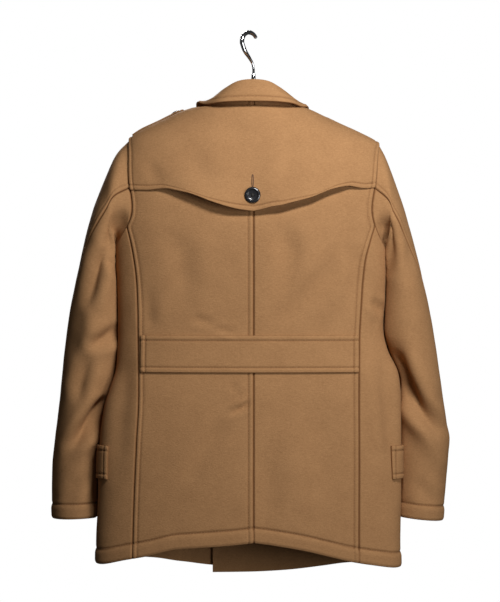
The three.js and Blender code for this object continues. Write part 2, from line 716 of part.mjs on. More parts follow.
// Epaulettes lie along the shoulder from the sleeve seam to near the collar
const EPAULETTE = {
  length: 88, width: 44, taper: 0.16, tip: 0.62, rise: 2.2, buttonAt: 0.86,
  rows: 4, columns: 7,
};
const EPAULETTE_PLACE = {
  left: { startX: 207, backY: -10, lift: 6.2 }, // the left one lies over the flap's edge
  right: { startX: 203, backY: 2, lift: 1.2 },
};
function makeEpaulette(side) {
  const { startX, backY, lift } = EPAULETTE_PLACE[side.name];
  const middle = backY + EPAULETTE.width / 2;
  const place = (u, y) => {
    const x = side.sign * (startX - EPAULETTE.length * u);
    return new THREE.Vector3(x, y, shoulderHeight(x, y));
  };
  const height = (u) => lift + WALL + EPAULETTE.rise * u * u;
  const along = steps(0, 1, EPAULETTE.columns);
  const grid = steps(-1, 1, EPAULETTE.rows).map((v) => along.map((u) => {
    const tip = u > 0.99 ? EPAULETTE.tip : 1; // the free end narrows to a blunt point
    const halfWidth = (EPAULETTE.width / 2) * (1 - EPAULETTE.taper * u) * tip;
    return place(u, middle + v * halfWidth);
  }));
  const normals = grid.map((row) => row.map(bodyNormal));
  const raised = grid.map((row, i) => row.map((p, j) => raise(p, normals[i][j], height(along[j]))));
  shell(`epaulette_${side.name}`, raised, normals);
  const foot = place(EPAULETTE.buttonAt, middle);
  const normal = bodyNormal(foot);
  const seat = raise(foot, normal, height(EPAULETTE.buttonAt) + 0.7);
  makeButton(`epaulette_button_${side.name}`, seat, normal, SMALL_BUTTON_RADIUS);
}

// Buttons: a rimmed dish on its own axis
function makeButton(name, seat, normal, radius) {
  const thick = radius * 0.3;
  const profile = [
    [0, 0],
    [radius * 0.86, 0],
    [radius, thick * 0.5],
    [radius * 0.9, thick],
    [radius * 0.72, thick * 0.75],
    [0, thick * 0.62],
  ].map(([r, h]) => new THREE.Vector2(r, h));
  const geometry = new THREE.LatheGeometry(profile, 16);
  const mesh = new THREE.Mesh(geometry, horn);
  mesh.name = name;
  mesh.quaternion.setFromUnitVectors(new THREE.Vector3(0, 1, 0), normal);
  mesh.position.copy(seat);
  group.add(mesh);
}

const FLAP_BUTTON = { x: 1.7, z: 177, lift: FLAP_LIFT + WALL + 5.6 };
function makeFlapButton() {
  const side = SIDES.left;
  const seat = bodyPoint(side, angleAt(side, FLAP_BUTTON.x, FLAP_BUTTON.z, -1), FLAP_BUTTON.z);
  const normal = bodyNormal(seat);
  makeButton('storm_flap_button', raise(seat, normal, FLAP_BUTTON.lift), normal, BUTTON_RADIUS);
}

const FRONT_BUTTONS = { x: 52, heights: [62, -48, -158], lift: { left: 0.45, right: 0.8 } };
function makeFrontButtons() {
  const side = SIDES.left;
  for (const [column, sign] of [['left', 1], ['right', -1]]) {
    FRONT_BUTTONS.heights.forEach((z, i) => {
      const angle = angleAt(side, sign * FRONT_BUTTONS.x, z, 1);
      const seat = bodyPoint(side, angle, z);
      const normal = bodyNormal(seat);
      const top = raise(seat, normal, LAYER + FRONT_BUTTONS.lift[column]);
      makeButton(`front_button_${column}_${i + 1}`, top, normal, BUTTON_RADIUS);
    });
  }
}

// Hanger: a plain shaped bar under the shoulders, rising to the hook between the collar's ends
const HANGER = {
  reach: 189, spacing: 14, gap: 0.5, thick: 17, neckX: 92, // the neck's rise ends at neckX
  wideMiddle: 15, wideEnd: 38, widenFrom: 60, widenOver: 90,
  pitch: 0.32, crown: 0.03, // how its top falls away to the back and front
};
const HANGER_RISE = table(['x', 'z'], [
  [0, 381], [10, 380], [26, 366], [48, 345], [68, 332], [92, 318],
]);
function makeHanger() {
  const stations = steps(-HANGER.reach, HANGER.reach, Math.round((2 * HANGER.reach) / HANGER.spacing));
  const corners = 12;
  const rings = stations.map((x) => {
    const out = Math.abs(x);
    const blend = ramp((out - HANGER.widenFrom) / HANGER.widenOver);
    const wide = (HANGER.wideMiddle + (HANGER.wideEnd - HANGER.wideMiddle) * blend) / 2;
    const ringTop = (y) => {
      const round = HANGER.pitch * Math.abs(y) + HANGER.crown * y * y;
      if (out < HANGER.neckX) return read(HANGER_RISE, 'x', 'z', out) - round;
      const height = shoulderHeight(x, 0);
      const slope = gradient(new THREE.Vector3(x, 0, height));
      return height - (WALL + HANGER.gap) * (slope.length() / Math.abs(slope.z)) - round;
    };
    return Array.from({ length: corners }, (_, k) => {
      const turn = (2 * Math.PI * (k + 0.5)) / corners;
      const y = wide * Math.sin(turn);
      const top = ringTop(y);
      const z = Math.cos(turn) > 0 ? top : top - HANGER.thick * (0.35 + 0.65 * -Math.cos(turn));
      return new THREE.Vector3(x, y, z);
    });
  });
  const positions = rings.flat().flatMap((p) => p.toArray());
  const indices = [];
  const count = rings.length;
  for (let i = 0; i < count - 1; i++) {
    for (let k = 0; k < corners; k++) {
      const next = (k + 1) % corners;
      const a = i * corners + k;
      const b = i * corners + next;
      indices.push(a, b, b + corners, a, b + corners, a + corners);
    }
  }
  for (let k = 1; k < corners - 1; k++) {
    indices.push(0, k + 1, k);
    const base = (count - 1) * corners;
    indices.push(base, base + k, base + k + 1);
  }
  addMesh('hanger_body', positions, indices, wood);
}

const HOOK = { turn: 38, bowlRadius: 16.2, bowlH: -8.75, bowlZ: 445, rod: 2.1, thickRod: 3.8, footZ: 391.2 };
function makeHook() {
  const turned = radians(HOOK.turn);
  const place = (h, z) => new THREE.Vector3(h * Math.cos(turned), h * Math.sin(turned), z);
  const bowl = steps(195, 25, 12).map((turn) => place(
    HOOK.bowlH + HOOK.bowlRadius * Math.cos(radians(turn)),
    HOOK.bowlZ + HOOK.bowlRadius * Math.sin(radians(turn)),
  ));
  const stem = [
    place(0, HOOK.footZ), place(0, 399), place(-2.2, 408), place(-9, 417.5), place(-18.5, 428.5),
  ];
  const path = new THREE.CatmullRomCurve3([...stem, ...bowl], false, 'centripetal');
  const rings = 34;
  const sides = 10;
  const across = new THREE.Vector3(-Math.sin(turned), Math.cos(turned), 0);
  const positions = [];
  for (let i = 0; i <= rings; i++) {
    const t = i / rings;
    const p = path.getPointAt(t);
    const along = path.getTangentAt(t);
    const up = along.clone().cross(across).normalize();
    const swell = ramp((t - 0.12) / 0.35) * (1 - 0.45 * ramp((t - 0.82) / 0.18));
    const radius = HOOK.rod + (HOOK.thickRod - HOOK.rod) * swell;
    for (let k = 0; k < sides; k++) {
      const turn = (2 * Math.PI * k) / sides;
      const q = raise(raise(p, across, radius * Math.cos(turn)), up, radius * Math.sin(turn));
      positions.push(...q.toArray());
    }
  }
  const indices = [];
  for (let i = 0; i < rings; i++) {
    for (let k = 0; k < sides; k++) {
      const a = i * sides + k;
      const b = i * sides + ((k + 1) % sides);
      indices.push(a, b, b + sides, a, b + sides, a + sides);
    }
  }
  for (let k = 1; k < sides - 1; k++) {
    indices.push(0, k + 1, k);
    indices.push(rings * sides, rings * sides + k, rings * sides + k + 1);
  }
  addMesh('hanger_hook', positions, indices, chrome);
}

const FERRULE = { radius: 3.9, bottomZ: 380.7, topZ: 390.8 };
function makeFerrule() {
  const height = FERRULE.topZ - FERRULE.bottomZ;
  const geometry = new THREE.CylinderGeometry(FERRULE.radius * 0.8, FERRULE.radius, height, 16);
  const mesh = new THREE.Mesh(geometry, chrome);
  mesh.name = 'hanger_ferrule';
  mesh.rotation.x = Math.PI / 2;
  mesh.position.set(0, 0, FERRULE.bottomZ + height / 2);
  group.add(mesh);
}

for (const side of [SIDES.left, SIDES.right]) {
  makeBack(side);
  makeSide(side);
  makeFront(side);
  makeSleeve(side);
  makePocketFlap(side);
  makeLapel(side);
  makeEpaulette(side);
}
makeFlap();
makeBelt();
makeCollar();
makeFlapButton();
makeFrontButtons();
makeHanger();
makeHook();
makeFerrule();

group.position.set(-SEAT_X, 0, -SEAT_Z);

export default group;
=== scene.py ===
# Looks of the pea coat on its hanger. Sizes are in millimetres in the coat's own frame: x to the
# wearer's right, y to the front, z up from the height of the lens. row() turns them into the
# frame's metres.
import math

import bpy
import numpy as np
from mathutils import Matrix, Vector


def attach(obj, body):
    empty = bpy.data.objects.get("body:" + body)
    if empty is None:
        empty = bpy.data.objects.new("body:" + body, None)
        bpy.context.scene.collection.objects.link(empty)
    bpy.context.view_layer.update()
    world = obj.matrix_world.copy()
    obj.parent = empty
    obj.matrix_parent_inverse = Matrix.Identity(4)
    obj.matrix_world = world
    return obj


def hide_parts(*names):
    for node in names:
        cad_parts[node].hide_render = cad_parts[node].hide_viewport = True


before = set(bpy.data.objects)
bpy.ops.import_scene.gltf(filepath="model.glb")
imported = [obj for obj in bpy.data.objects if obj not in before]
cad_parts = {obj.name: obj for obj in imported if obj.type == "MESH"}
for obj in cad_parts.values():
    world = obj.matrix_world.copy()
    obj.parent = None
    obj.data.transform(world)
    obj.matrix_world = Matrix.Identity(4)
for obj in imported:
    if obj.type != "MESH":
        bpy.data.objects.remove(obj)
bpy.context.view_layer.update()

SEAT = np.array([-7.0, 0.0, 457.0])  # the hook's seat, the frame's origin
WALL = 3.0
THIN = 1.4  # the cloth where it is pressed under the flap and the collar
OVERLAP = 72  # how far a front reaches past the middle
BREAK_Z = 95  # where the lapels start to turn back
GORGE = (62, 300)  # x and z of the lapels' turn at the neck
# Each side: the sign of x, the armhole's top and foot, and where on its rim the princess seam ends
LEFT = {"name": "left", "other": "right", "sign": -1, "tip": 277, "under": 86, "joint": 125}
RIGHT = {"name": "right", "other": "left", "sign": 1, "tip": 269, "under": 82, "joint": 120}


def row(points):
    return (np.asarray(points, dtype=float) - SEAT) / 1000


def table(names, rows):
    columns = np.array(rows, dtype=float).T
    return dict(zip(names.split(), columns))


def read(rows, key, name, t):
    """A column of a table at t, on a smooth curve through its rows."""
    k, v = rows[key], rows[name]
    slope = np.gradient(v)
    slope[1:-1] = (v[2:] - v[:-2]) / (k[2:] - k[:-2])
    slope[0] = (v[1] - v[0]) / (k[1] - k[0])
    slope[-1] = (v[-1] - v[-2]) / (k[-1] - k[-2])
    t = np.clip(t, k[0], k[-1])
    i = np.clip(np.searchsorted(k, t, side="right") - 1, 0, len(k) - 2)
    span = k[i + 1] - k[i]
    s = (t - k[i]) / span
    h = s * s * (3 - 2 * s)
    bend = slope[i] * s * (1 - s) ** 2 - slope[i + 1] * s * s * (1 - s)
    return v[i] * (1 - h) + v[i + 1] * h + bend * span


def ramp(t):
    s = np.clip(t, 0, 1)
    return s * s * (3 - 2 * s)


# The coat's sections, seams and edges, the same as in the solids
BODY = table("z left right back front round", [
    (-490, 272, 254, 92, 100, 0.7),
    (-406, 271, 252, 92, 98, 0.7),
    (-340, 267.5, 253.5, 91, 95, 0.7),
    (-256, 265, 254, 88, 91, 0.7),
    (-187, 257, 253.5, 85, 88, 0.7),
    (-153, 247, 253, 83, 86, 0.7),
    (-119, 236, 248, 80, 84, 0.7),
    (-84, 233, 231.5, 78, 82, 0.7),
    (-50, 232, 223.5, 77, 81, 0.7),
    (0, 233.5, 226, 79, 83, 0.7),
    (44, 235.5, 228, 82, 85, 0.7),
    (88, 238.5, 228.5, 85, 87, 0.7),
    (125, 241.5, 232.5, 86, 87, 0.7),
    (160, 242, 236, 85, 86, 0.7),
    (200, 239, 233.5, 83, 82, 0.72),
    (240, 230, 225, 80, 75, 0.8),
    (262, 222, 219, 77, 69, 0.9),
    (269, 219, 216, 76, 67, 0.96),
    (278, 214, 203, 74, 64, 1.05),
    (294, 192, 171, 71, 58, 1.15),
    (308, 161, 140, 68, 53, 1.15),
    (322, 131, 110, 64, 47, 1.1),
    (335, 99, 88, 60, 40, 1.0),
    (346, 80, 76, 57, 34, 1.0),
])
PRINCESS = table("z left right", [
    (-460, 206, 178),
    (-340, 203, 178),
    (-236, 198, 178),
    (-168, 194.5, 178),
    (-66, 196, 179.5),
    (0, 197, 183.5),
    (44, 200, 187),
    (75, 204.5, 190.5),
    (103, 210, 197.5),
    (126, 216, 204.5),
])
SIDE_SEAM = table("z left right", [
    (-470, 186, 172),
    (-190, 172, 164),
    (0, 160, 158),
    (100, 176, 172),
    (134, 198, 192),
])
ARMHOLE = table("z left right", [
    (82, 238.3, 228.5),
    (95, 235, 223),
    (109, 227, 215),
    (121, 219.5, 209.5),
    (132, 212.7, 205),
    (146, 207.6, 201.8),
    (160, 206.8, 201.4),
    (171, 207.4, 202.6),
    (200, 211.5, 207.6),
    (222, 213, 209.7),
    (240, 213.5, 211.7),
    (262, 214.5, 215),
    (278, 214, 216),
])
HEM = table("angle left right", [
    (-90, -406, -406),
    (-83, -410, -410),
    (-70, -415, -420),
    (-60, -419, -430),
    (-50, -429, -439),
    (-38, -437, -446),
    (-20, -447, -453),
    (0, -448, -454),
    (30, -447, -455),
    (50, -451, -460),
    (62, -459, -467),
    (75, -467, -474),
    (90, -470, -478),
    (110, -472, -479),
])
NECK = table("angle z", [
    (-90, 344),
    (-70, 343.5),
    (-50, 342.5),
    (-25, 339),
    (0, 334.5),
    (25, 329),
    (50, 316),
    (68, 300),
])
FLAP_EDGE = {
    "left": table("x z off", [
        (0, 150, 5), (22, 152.5, 8), (39, 156, 12), (56, 161, 14), (73, 167, 14), (90, 174, 13),
        (107, 180, 11), (124, 184, 8), (141, 188, 5), (158, 188.5, 2), (175, 187, 0.5), (209, 188, 0),
    ]),
    "right": table("x z off", [
        (0, 150, 5), (11, 152, 7), (28, 156.5, 10), (44, 159, 12), (61, 163.5, 12), (78, 168, 11),
        (95, 173, 11), (112, 180, 10), (128, 186.5, 9), (146, 191, 7), (160, 193, 4), (184, 190, 1),
        (207, 192, 0),
    ]),
}
SLEEVE = {
    "left": table("outer_x outer_z inner_x inner_z y deep", [
        (237, 251, 246, 92, 1, 58),
        (258, 205, 246, 83, 5, 64),
        (276, 160, 245, 73, 10, 69),
        (290, 112, 243, 61, 16, 72),
        (300, 68, 241, 45, 20, 73),
        (309, 25, 238, 22, 24, 73),
        (318, -15, 235.5, -15, 26, 71),
        (325, -60, 235, -55, 28, 69),
        (330, -100, 238, -92, 29, 66),
        (334, -140, 247, -128, 30, 64),
        (338, -178, 259, -162, 31, 62),
        (342, -210, 267, -193, 32, 60),
        (346, -243, 270, -228, 33, 59),
        (350, -280, 271, -270, 35, 57),
        (351, -318, 271, -312, 37, 55),
        (351, -350, 270, -347, 38, 54),
        (350, -377, 270, -373, 38, 53),
    ]),
    "right": table("outer_x outer_z inner_x inner_z y deep", [
        (228, 244, 237, 87, 1, 57),
        (245, 200, 236, 78, 5, 63),
        (261, 155, 235, 67, 10, 68),
        (275, 108, 233, 55, 16, 71),
        (287, 62, 231, 40, 20, 72),
        (297, 18, 229.5, 18, 24, 72),
        (306, -22, 227.5, -18, 26, 70),
        (313, -62, 227, -55, 28, 68),
        (319, -100, 241, -88, 29, 65),
        (325, -140, 257, -122, 30, 63),
        (331, -180, 262, -158, 31, 61),
        (336, -212, 260, -190, 32, 60),
        (341, -237, 257, -222, 33, 58),
        (339, -270, 256, -262, 35, 56),
        (336, -308, 256, -304, 37, 54),
        (333, -343, 255, -340, 38, 53),
        (330, -381, 255, -371, 38, 52),
    ]),
}
COLLAR = table("angle fold_x fold_y fold_z edge_x edge_y edge_z", [
    (-90, 0, -64, 374.5, 0, -78, 336.5),
    (-66, 25, -61, 372, 26, -77, 336.5),
    (-46, 46, -53, 361.5, 52, -71, 336),
    (-28, 61, -41, 352, 69, -58, 335),
    (-12, 72, -22, 345, 82, -36, 332),
    (2, 77, 0, 341, 91, -6, 328),
    (18, 75, 22, 336, 94, 22, 319),
    (36, 68, 42, 325, 96, 46, 301),
    (52, 61, 54, 311, 92, 62, 282),
])


def body_point(side, angle, z):
    angle, z = np.broadcast_arrays(np.radians(angle), z)
    across, deep = np.cos(angle), np.sin(angle)
    own = read(BODY, "z", side["name"], z)
    other = read(BODY, "z", side["other"], z)
    width = np.where(across < 0, other, own)
    depth = np.where(deep > 0, read(BODY, "z", "front", z), read(BODY, "z", "back", z))
    y = np.sign(deep) * depth * np.abs(deep) ** read(BODY, "z", "round", z)
    return np.stack([side["sign"] * width * across, y, z], axis=-1)


def angle_at(side, x, z, face):
    x, z = np.broadcast_arrays(np.asarray(x, dtype=float), z)
    width = np.where(x < 0, read(BODY, "z", side["other"], z), read(BODY, "z", side["name"], z))
    return face * np.degrees(np.arccos(np.clip(x / width, -1, 1)))


def outside(p):
    x, y, z = p[..., 0], p[..., 1], p[..., 2]
    width = np.where(x < 0, read(BODY, "z", "left", z), read(BODY, "z", "right", z))
    depth = np.where(y > 0, read(BODY, "z", "front", z), read(BODY, "z", "back", z))
    return (x / width) ** 2 + (np.abs(y) / depth) ** (2 / read(BODY, "z", "round", z)) - 1


def gradient(p):
    slope = np.empty_like(p)
    for axis in range(3):
        step = np.zeros(3)
        step[axis] = 0.5
        slope[..., axis] = outside(p + step) - outside(p - step)
    return slope


def unit(v):
    return v / np.maximum(np.linalg.norm(v, axis=-1, keepdims=True), 1e-9)


def body_normal(p):
    return unit(gradient(p))


def clear(p, distance):
    for _ in range(4):
        slope = gradient(p)
        size = np.linalg.norm(slope, axis=-1, keepdims=True)
        gap = outside(p)[..., None] / size
        p = p + slope / size * np.clip(distance - gap, 0, None)
    return p


def shoulder_height(x, y):
    low = np.full(np.shape(x), 200.0)
    high = np.full(np.shape(x), 346.0)
    for _ in range(30):
        mid = (low + high) / 2
        inside = outside(np.stack([x, y, mid], axis=-1)) < 0
        low = np.where(inside, mid, low)
        high = np.where(inside, high, mid)
    return (low + high) / 2


ARM_HOLLOW = 4  # how far the armhole's front curves in
ARM_ENDS = 0.22  # this near to its top and its foot, the rim keeps to the side's line


def armhole(side, turn):
    """A place on the armhole's rim: 0 at the shoulder tip, 90 at the back, 180 under the arm."""
    turn = np.asarray(turn, dtype=float) % 360
    middle = (side["tip"] + side["under"]) / 2
    half = (side["tip"] - side["under"]) / 2
    z = middle + half * np.cos(np.radians(turn))
    rise = np.sin(np.radians(turn))
    curve = np.where(turn > 180, ARM_HOLLOW * rise * rise, 0)
    x = read(ARMHOLE, "z", side["name"], z) - curve
    angle = angle_at(side, x, z, 1) * np.where(turn > 180, 1, -1)
    return angle * ramp(np.abs(rise) / ARM_ENDS), z


def spread(side, angles, heights, s):
    """Places at shares s of the length of a chain of places on the body."""
    points = body_point(side, angles, heights)
    steps = np.linalg.norm(np.diff(points, axis=0), axis=-1)
    run = np.concatenate([[0], np.cumsum(steps)])
    goal = np.asarray(s) * run[-1]
    return np.interp(goal, run, angles), np.interp(goal, run, heights)


def split(t, cut, first, second):
    """Joins two edges, each a function of 0 to 1, at the share cut."""
    a = first(np.clip(t / cut, 0, 1))
    b = second(np.clip((t - cut) / (1 - cut), 0, 1))
    return tuple(np.where(t <= cut, p, q) for p, q in zip(a, b))


def patch(u, v, bottom, top, left, right):
    """Fills four edges: places at shares u across and v up."""
    ones_u, ones_v = np.ones_like(u), np.ones_like(v)
    out = []
    for k in range(2):
        b, t = bottom(u)[k] * ones_u, top(u)[k] * ones_u
        a, c = left(v)[k] * ones_v, right(v)[k] * ones_v
        uu, vv = np.meshgrid(u, v)
        ruled = (1 - vv) * b + vv * t + (1 - uu) * a[:, None] + uu * c[:, None]
        low = (1 - uu) * b[0] + uu * b[-1]
        high = (1 - uu) * t[0] + uu * t[-1]
        out.append(ruled - (1 - vv) * low - vv * high)
    return out


# The coarse grid that is smoothed inside a panel's edges, and the rounds of smoothing
EVEN = {"across": 36, "up": 80, "rounds": 700, "mm_per_degree": 2.5}


def even_patch(u, v, bottom, top, left, right):
    """As patch, with the inner places evened out so that no cell of a panel folds over the next."""
    scale = np.array([EVEN["mm_per_degree"], 1.0])
    even_u, even_v = np.linspace(0, 1, EVEN["across"] + 1), np.linspace(0, 1, EVEN["up"] + 1)
    grid = np.stack(patch(even_u, even_v, bottom, top, left, right), axis=-1) * scale
    for _ in range(EVEN["rounds"]):
        across = (grid[1:-1, 2:] - grid[1:-1, :-2]) / 2
        up = (grid[2:, 1:-1] - grid[:-2, 1:-1]) / 2
        twist = (grid[2:, 2:] - grid[2:, :-2] - grid[:-2, 2:] + grid[:-2, :-2]) / 4
        a = (up * up).sum(axis=-1, keepdims=True)
        b = (across * up).sum(axis=-1, keepdims=True)
        c = (across * across).sum(axis=-1, keepdims=True)
        beside = grid[1:-1, 2:] + grid[1:-1, :-2]
        above = grid[2:, 1:-1] + grid[:-2, 1:-1]
        goal = (a * beside + c * above - 2 * b * twist) / (2 * (a + c))
        grid[1:-1, 1:-1] += 0.8 * (goal - grid[1:-1, 1:-1])
    rows = smooth_grid(grid, 0, v * EVEN["up"])
    inner = smooth_grid(rows, 1, u * EVEN["across"]) / scale
    off = np.stack(patch(u, v, bottom, top, left, right), axis=-1) - inner
    uu, vv = np.meshgrid(u, v)
    uu, vv = uu[..., None], vv[..., None]
    inner = inner + (1 - vv) * off[:1] + vv * off[-1:] + (1 - uu) * off[:, :1] + uu * off[:, -1:]
    return inner[..., 0], inner[..., 1]


CLOSE = (0, 0.5, 1.0, 1.6, 2.4, 3.4, 4.8, 6.0, 7.0, 7.8, 8.6, 9.4, 10.4, 11.8, 13.6, 16.0, 19.0)


def shares(length, near_start=True, near_end=True, step=6.0):
    """Shares of a length in mm, close together near the ends where seams and stitches are."""
    start = CLOSE if near_start else (0,)
    end = [length - c for c in reversed(CLOSE)] if near_end else [length]
    count = max(int((end[0] - start[-1]) / step), 1)
    middle = np.linspace(start[-1], end[0], count + 1)[1:-1]
    return np.array([*start, *middle, *end]) / length


def smooth_grid(control, axis, t):
    """Points at indices t between a grid's rows, on curves through them."""
    control = np.moveaxis(control, axis, 0)
    last = len(control) - 1
    slope = np.gradient(control, axis=0)
    i = np.clip(np.floor(t).astype(int), 0, last - 1)
    s = (t - i).reshape(-1, *([1] * (control.ndim - 1)))
    h = s * s * (3 - 2 * s)
    out = control[i] * (1 - h) + control[i + 1] * h
    out = out + slope[i] * s * (1 - s) ** 2 - slope[i + 1] * s * s * (1 - s)
    return np.moveaxis(out, 0, axis)


def grid_normals(grid, wraps=False):
    if wraps:
        grid = np.concatenate([grid[:, -2:-1], grid, grid[:, 1:2]], axis=1)
    across = np.gradient(grid, axis=1)
    up = np.gradient(grid, axis=0)
    normals = unit(np.cross(across, up))
    return normals[:, 1:-1] if wraps else normals


# Creases, seen from behind: a soft trough through three places, with its width and depth.
# Negative depths are ridges. The front has similar ones of its own.
BACK_FOLDS = table("x0 z0 x1 z1 x2 z2 width depth", [
    (34, 128, 60, 62, 14, -40, 18, 5.5),
    (145, 76, 86, 6, 48, -46, 16, 4.2),
    (-104, -28, -85, -34, -64, -36, 6, 2.6),
    (-66, -47, -48, -51, -28, -55, 5, 2.8),
    (-37, -140, -32, -147, -23, -156, 5, 2.4),
    (-42, -190, -22, -181, -2, -168, 4.5, 4.4),
    (-40, -179, -22, -170, -6, -160, 5, -3),
    (-43, -200, -78, -245, -120, -305, 15, 3.4),
    (200, 4, 212, -10, 224, -22, 8, 5),
    (219, -82, 229, -190, 247, -345, 12, 5.5),
    (-214, -70, -222, -180, -236, -330, 15, 3.4),
    (-150, 126, -118, 60, -130, -24, 20, 3),
    (96, -166, 118, -250, 102, -365, 26, 3.2),
    (-170, 24, -178, -20, -166, -52, 12, 2.4),
    (170, 100, 176, 40, 166, -34, 14, 3),
    (12, -236, 26, -320, 6, -395, 22, 2.6),
])
FLAP_FOLDS = table("x0 z0 x1 z1 x2 z2 width depth", [
    (88, 262, 62, 226, 40, 178, 15, 2.2),
    (118, 300, 106, 250, 92, 205, 16, 1.4),
    (-122, 268, -90, 222, -62, 176, 18, 1.8),
    (-40, 318, -30, 282, -26, 240, 20, 1.2),
    (158, 262, 166, 236, 170, 204, 11, 1.6),
    (-176, 240, -168, 218, -150, 196, 11, 1.2),
])
FRONT_FOLDS = table("x0 z0 x1 z1 x2 z2 width depth", [
    (-150, 150, -120, 70, -138, -20, 20, 2.4),
    (140, 140, 118, 60, 132, -30, 18, 2.2),
    (-60, 30, -90, -60, -80, -150, 16, 1.6),
    (100, -30, 112, -120, 96, -220, 20, 1.8),
    (-205, 40, -214, -60, -226, -180, 13, 2.4),
    (206, 40, 214, -60, 228, -180, 13, 2.4),
    (20, -200, 34, -300, 14, -420, 24, 1.5),
])
SLEEVE_FOLDS = table("x0 z0 x1 z1 x2 z2 width depth", [
    (-212, 146, -236, 118, -252, 50, 16, 9),
    (-252, 92, -270, 40, -290, -18, 12, 13),
    (-242, 74, -238, 56, -234, 36, 6, 5),
    (-232, -34, -248, -62, -288, -78, 10, 10),
    (-268, -20, -282, -60, -290, -100, 13, -5),
    (-276, -92, -296, -136, -300, -176, 12, 8),
    (-248, -164, -276, -204, -332, -282, 12, 17),
    (-262, -214, -298, -250, -344, -264, 11, -4),
    (-318, 60, -322, 0, -324, -60, 13, -2.5),
    (-300, -300, -312, -330, -330, -352, 11, 3),
    (208, 138, 229, 106, 231, 30, 12, 11),
    (246, 150, 260, 90, 264, 20, 15, 4),
    (244, -80, 268, -160, 336, -240, 12, 17),
    (250, -50, 286, -118, 320, -168, 14, -4),
    (266, -190, 300, -240, 330, -300, 14, -4),
    (282, -300, 296, -330, 318, -352, 11, 3),
])
FRONT_SLEEVE_FOLDS = table("x0 z0 x1 z1 x2 z2 width depth", [
    (-226, 140, -252, 100, -262, 30, 11, 9),
    (-258, -150, -296, -190, -338, -214, 10, 9),
    (-270, -215, -304, -238, -340, -246, 11, 6),
    (222, 130, 244, 90, 250, 20, 11, 8),
    (256, -140, 290, -180, 326, -200, 10, 9),
    (262, -205, 296, -228, 330, -238, 11, 6),
])
BODY_FOLDS = (BACK_FOLDS, FRONT_FOLDS)
ARM_FOLDS = (SLEEVE_FOLDS, FRONT_SLEEVE_FOLDS)
# The shares of a fold's length over which its ends fade, and the part of its depth that fades last
FADE = {"start": 0.35, "end": 0.4, "last_start": 0.1, "last_end": 0.12, "last": 0.15}
BESIDE = {"at": 1.9, "high": 0.4}  # the soft ridges beside a fold, in its widths and depths
ROUND_SIDE = 1.8  # how soon the back's folds give way to the front's round the side


def bell(d, at, width):
    return np.exp(-(((d - at) / width) ** 2))


def trough(points, folds, k):
    """How deep a fold is at each place, seen along y."""
    t = np.linspace(0, 1, 15)
    ends = [np.array([folds[f"{axis}{i}"][k] for axis in "xz"]) for i in range(3)]
    control = 2 * ends[1] - (ends[0] + ends[2]) / 2
    path = [(1 - s) ** 2 * ends[0] + 2 * s * (1 - s) * control + s * s * ends[2] for s in t]
    flat = points[..., [0, 2]]
    best = np.full(flat.shape[:-1], 1e9)
    share = np.zeros_like(best)
    for i, (a, b) in enumerate(zip(path[:-1], path[1:])):
        along = b - a
        s = np.clip(((flat - a) @ along) / (along @ along), 0, 1)
        distance = np.linalg.norm(flat - a - s[..., None] * along, axis=-1)
        near = distance < best
        best = np.where(near, distance, best)
        share = np.where(near, (i + s) / (len(path) - 1), share)
    width = folds["width"][k]
    fade = ramp(share / FADE["start"]) * ramp((1 - share) / FADE["end"]) * (1 - FADE["last"])
    fade = (fade + FADE["last"] * ramp(share / FADE["last_start"])) * ramp((1 - share) / FADE["last_end"])
    ridges = BESIDE["high"] * bell(best, BESIDE["at"] * width, width)
    return folds["depth"][k] * fade * (ridges - bell(best, 0, width))


def creases(points, normals, back_folds, front_folds):
    """Height of the cloth's creases over its plain form."""
    facing = -normals[..., 1]
    height = np.zeros(points.shape[:-1])
    for folds, sign in ((back_folds, 1), (front_folds, -1)):
        weight = ramp(sign * facing * ROUND_SIDE)
        if not np.any(weight > 0):
            continue
        for k in range(len(folds["x0"])):
            height += weight * trough(points, folds, k)
    return height


# Waves of hanging cloth: height, the lengths along x, y and z that turn a wave by one radian, shift
WAVES = ((0.54, 47, 60, 131, 0.8), (0.42, 29, 41, -83, 2.1))
RIPPLE = 0.15
CALM = {"z": 120, "over": 300}  # from z up the waves are half as high


def drape(p):
    """Slow unevenness of hanging cloth, with a fine ripple."""
    x, y, z = p[..., 0], p[..., 1], p[..., 2]
    slow = sum(high * np.sin(x / a + y / b + z / c + shift) for high, a, b, c, shift in WAVES)
    fine = RIPPLE * np.sin(x / 11 + z / 17 + 0.4) * np.sin(z / 13 - x / 23)
    return slow * (0.5 + 0.5 * ramp((CALM["z"] - z) / CALM["over"])) + fine


# Edges of a piece: how the cloth rises or sinks at a distance from the edge, in mm
STITCH_IN = 8.8
HEM_DEEP = 26.0
EDGE_ROUND = 1.4
HEM_BAND = {"high": 1.5, "rise": 5, "fall": 9}
# Ridges and dips along an edge: height, distance from the edge, width
GROOVE = (-1.9, 0, 1.5)
STITCH_DIP = (-0.85, STITCH_IN, 1.5)
HEM_DIP = (-1.1, HEM_DEEP, 1.9)
SEAM_RIDGE = (0.55, 4.5, 2.6)
EDGE_RIDGE = (0.5, 4.5, 2.4)


def relief(d, *shapes):
    return sum(height * bell(d, at, width) for height, at, width in shapes)


def turned(d):
    """The quarter round of a free edge."""
    left = 1 - np.clip(d / EDGE_ROUND, 0, 1)
    return EDGE_ROUND * (np.sqrt(1 - left**2) - 1)


def seam_edge(d):
    return relief(d, GROOVE)


def stitched_seam(d):
    return relief(d, GROOVE, SEAM_RIDGE, STITCH_DIP)


def free_edge(d):
    return turned(d) + relief(d, EDGE_RIDGE, STITCH_DIP)


def hem_edge(d):
    band = HEM_BAND["high"] * ramp(d / HEM_BAND["rise"]) * ramp((HEM_DEEP - d) / HEM_BAND["fall"])
    return turned(d) + band + relief(d, HEM_DIP)


def plain(d):
    return np.zeros_like(d)


STITCH_DISTANCE = {stitched_seam: STITCH_IN, free_edge: STITCH_IN, hem_edge: HEM_DEEP}
stitch_paths = []


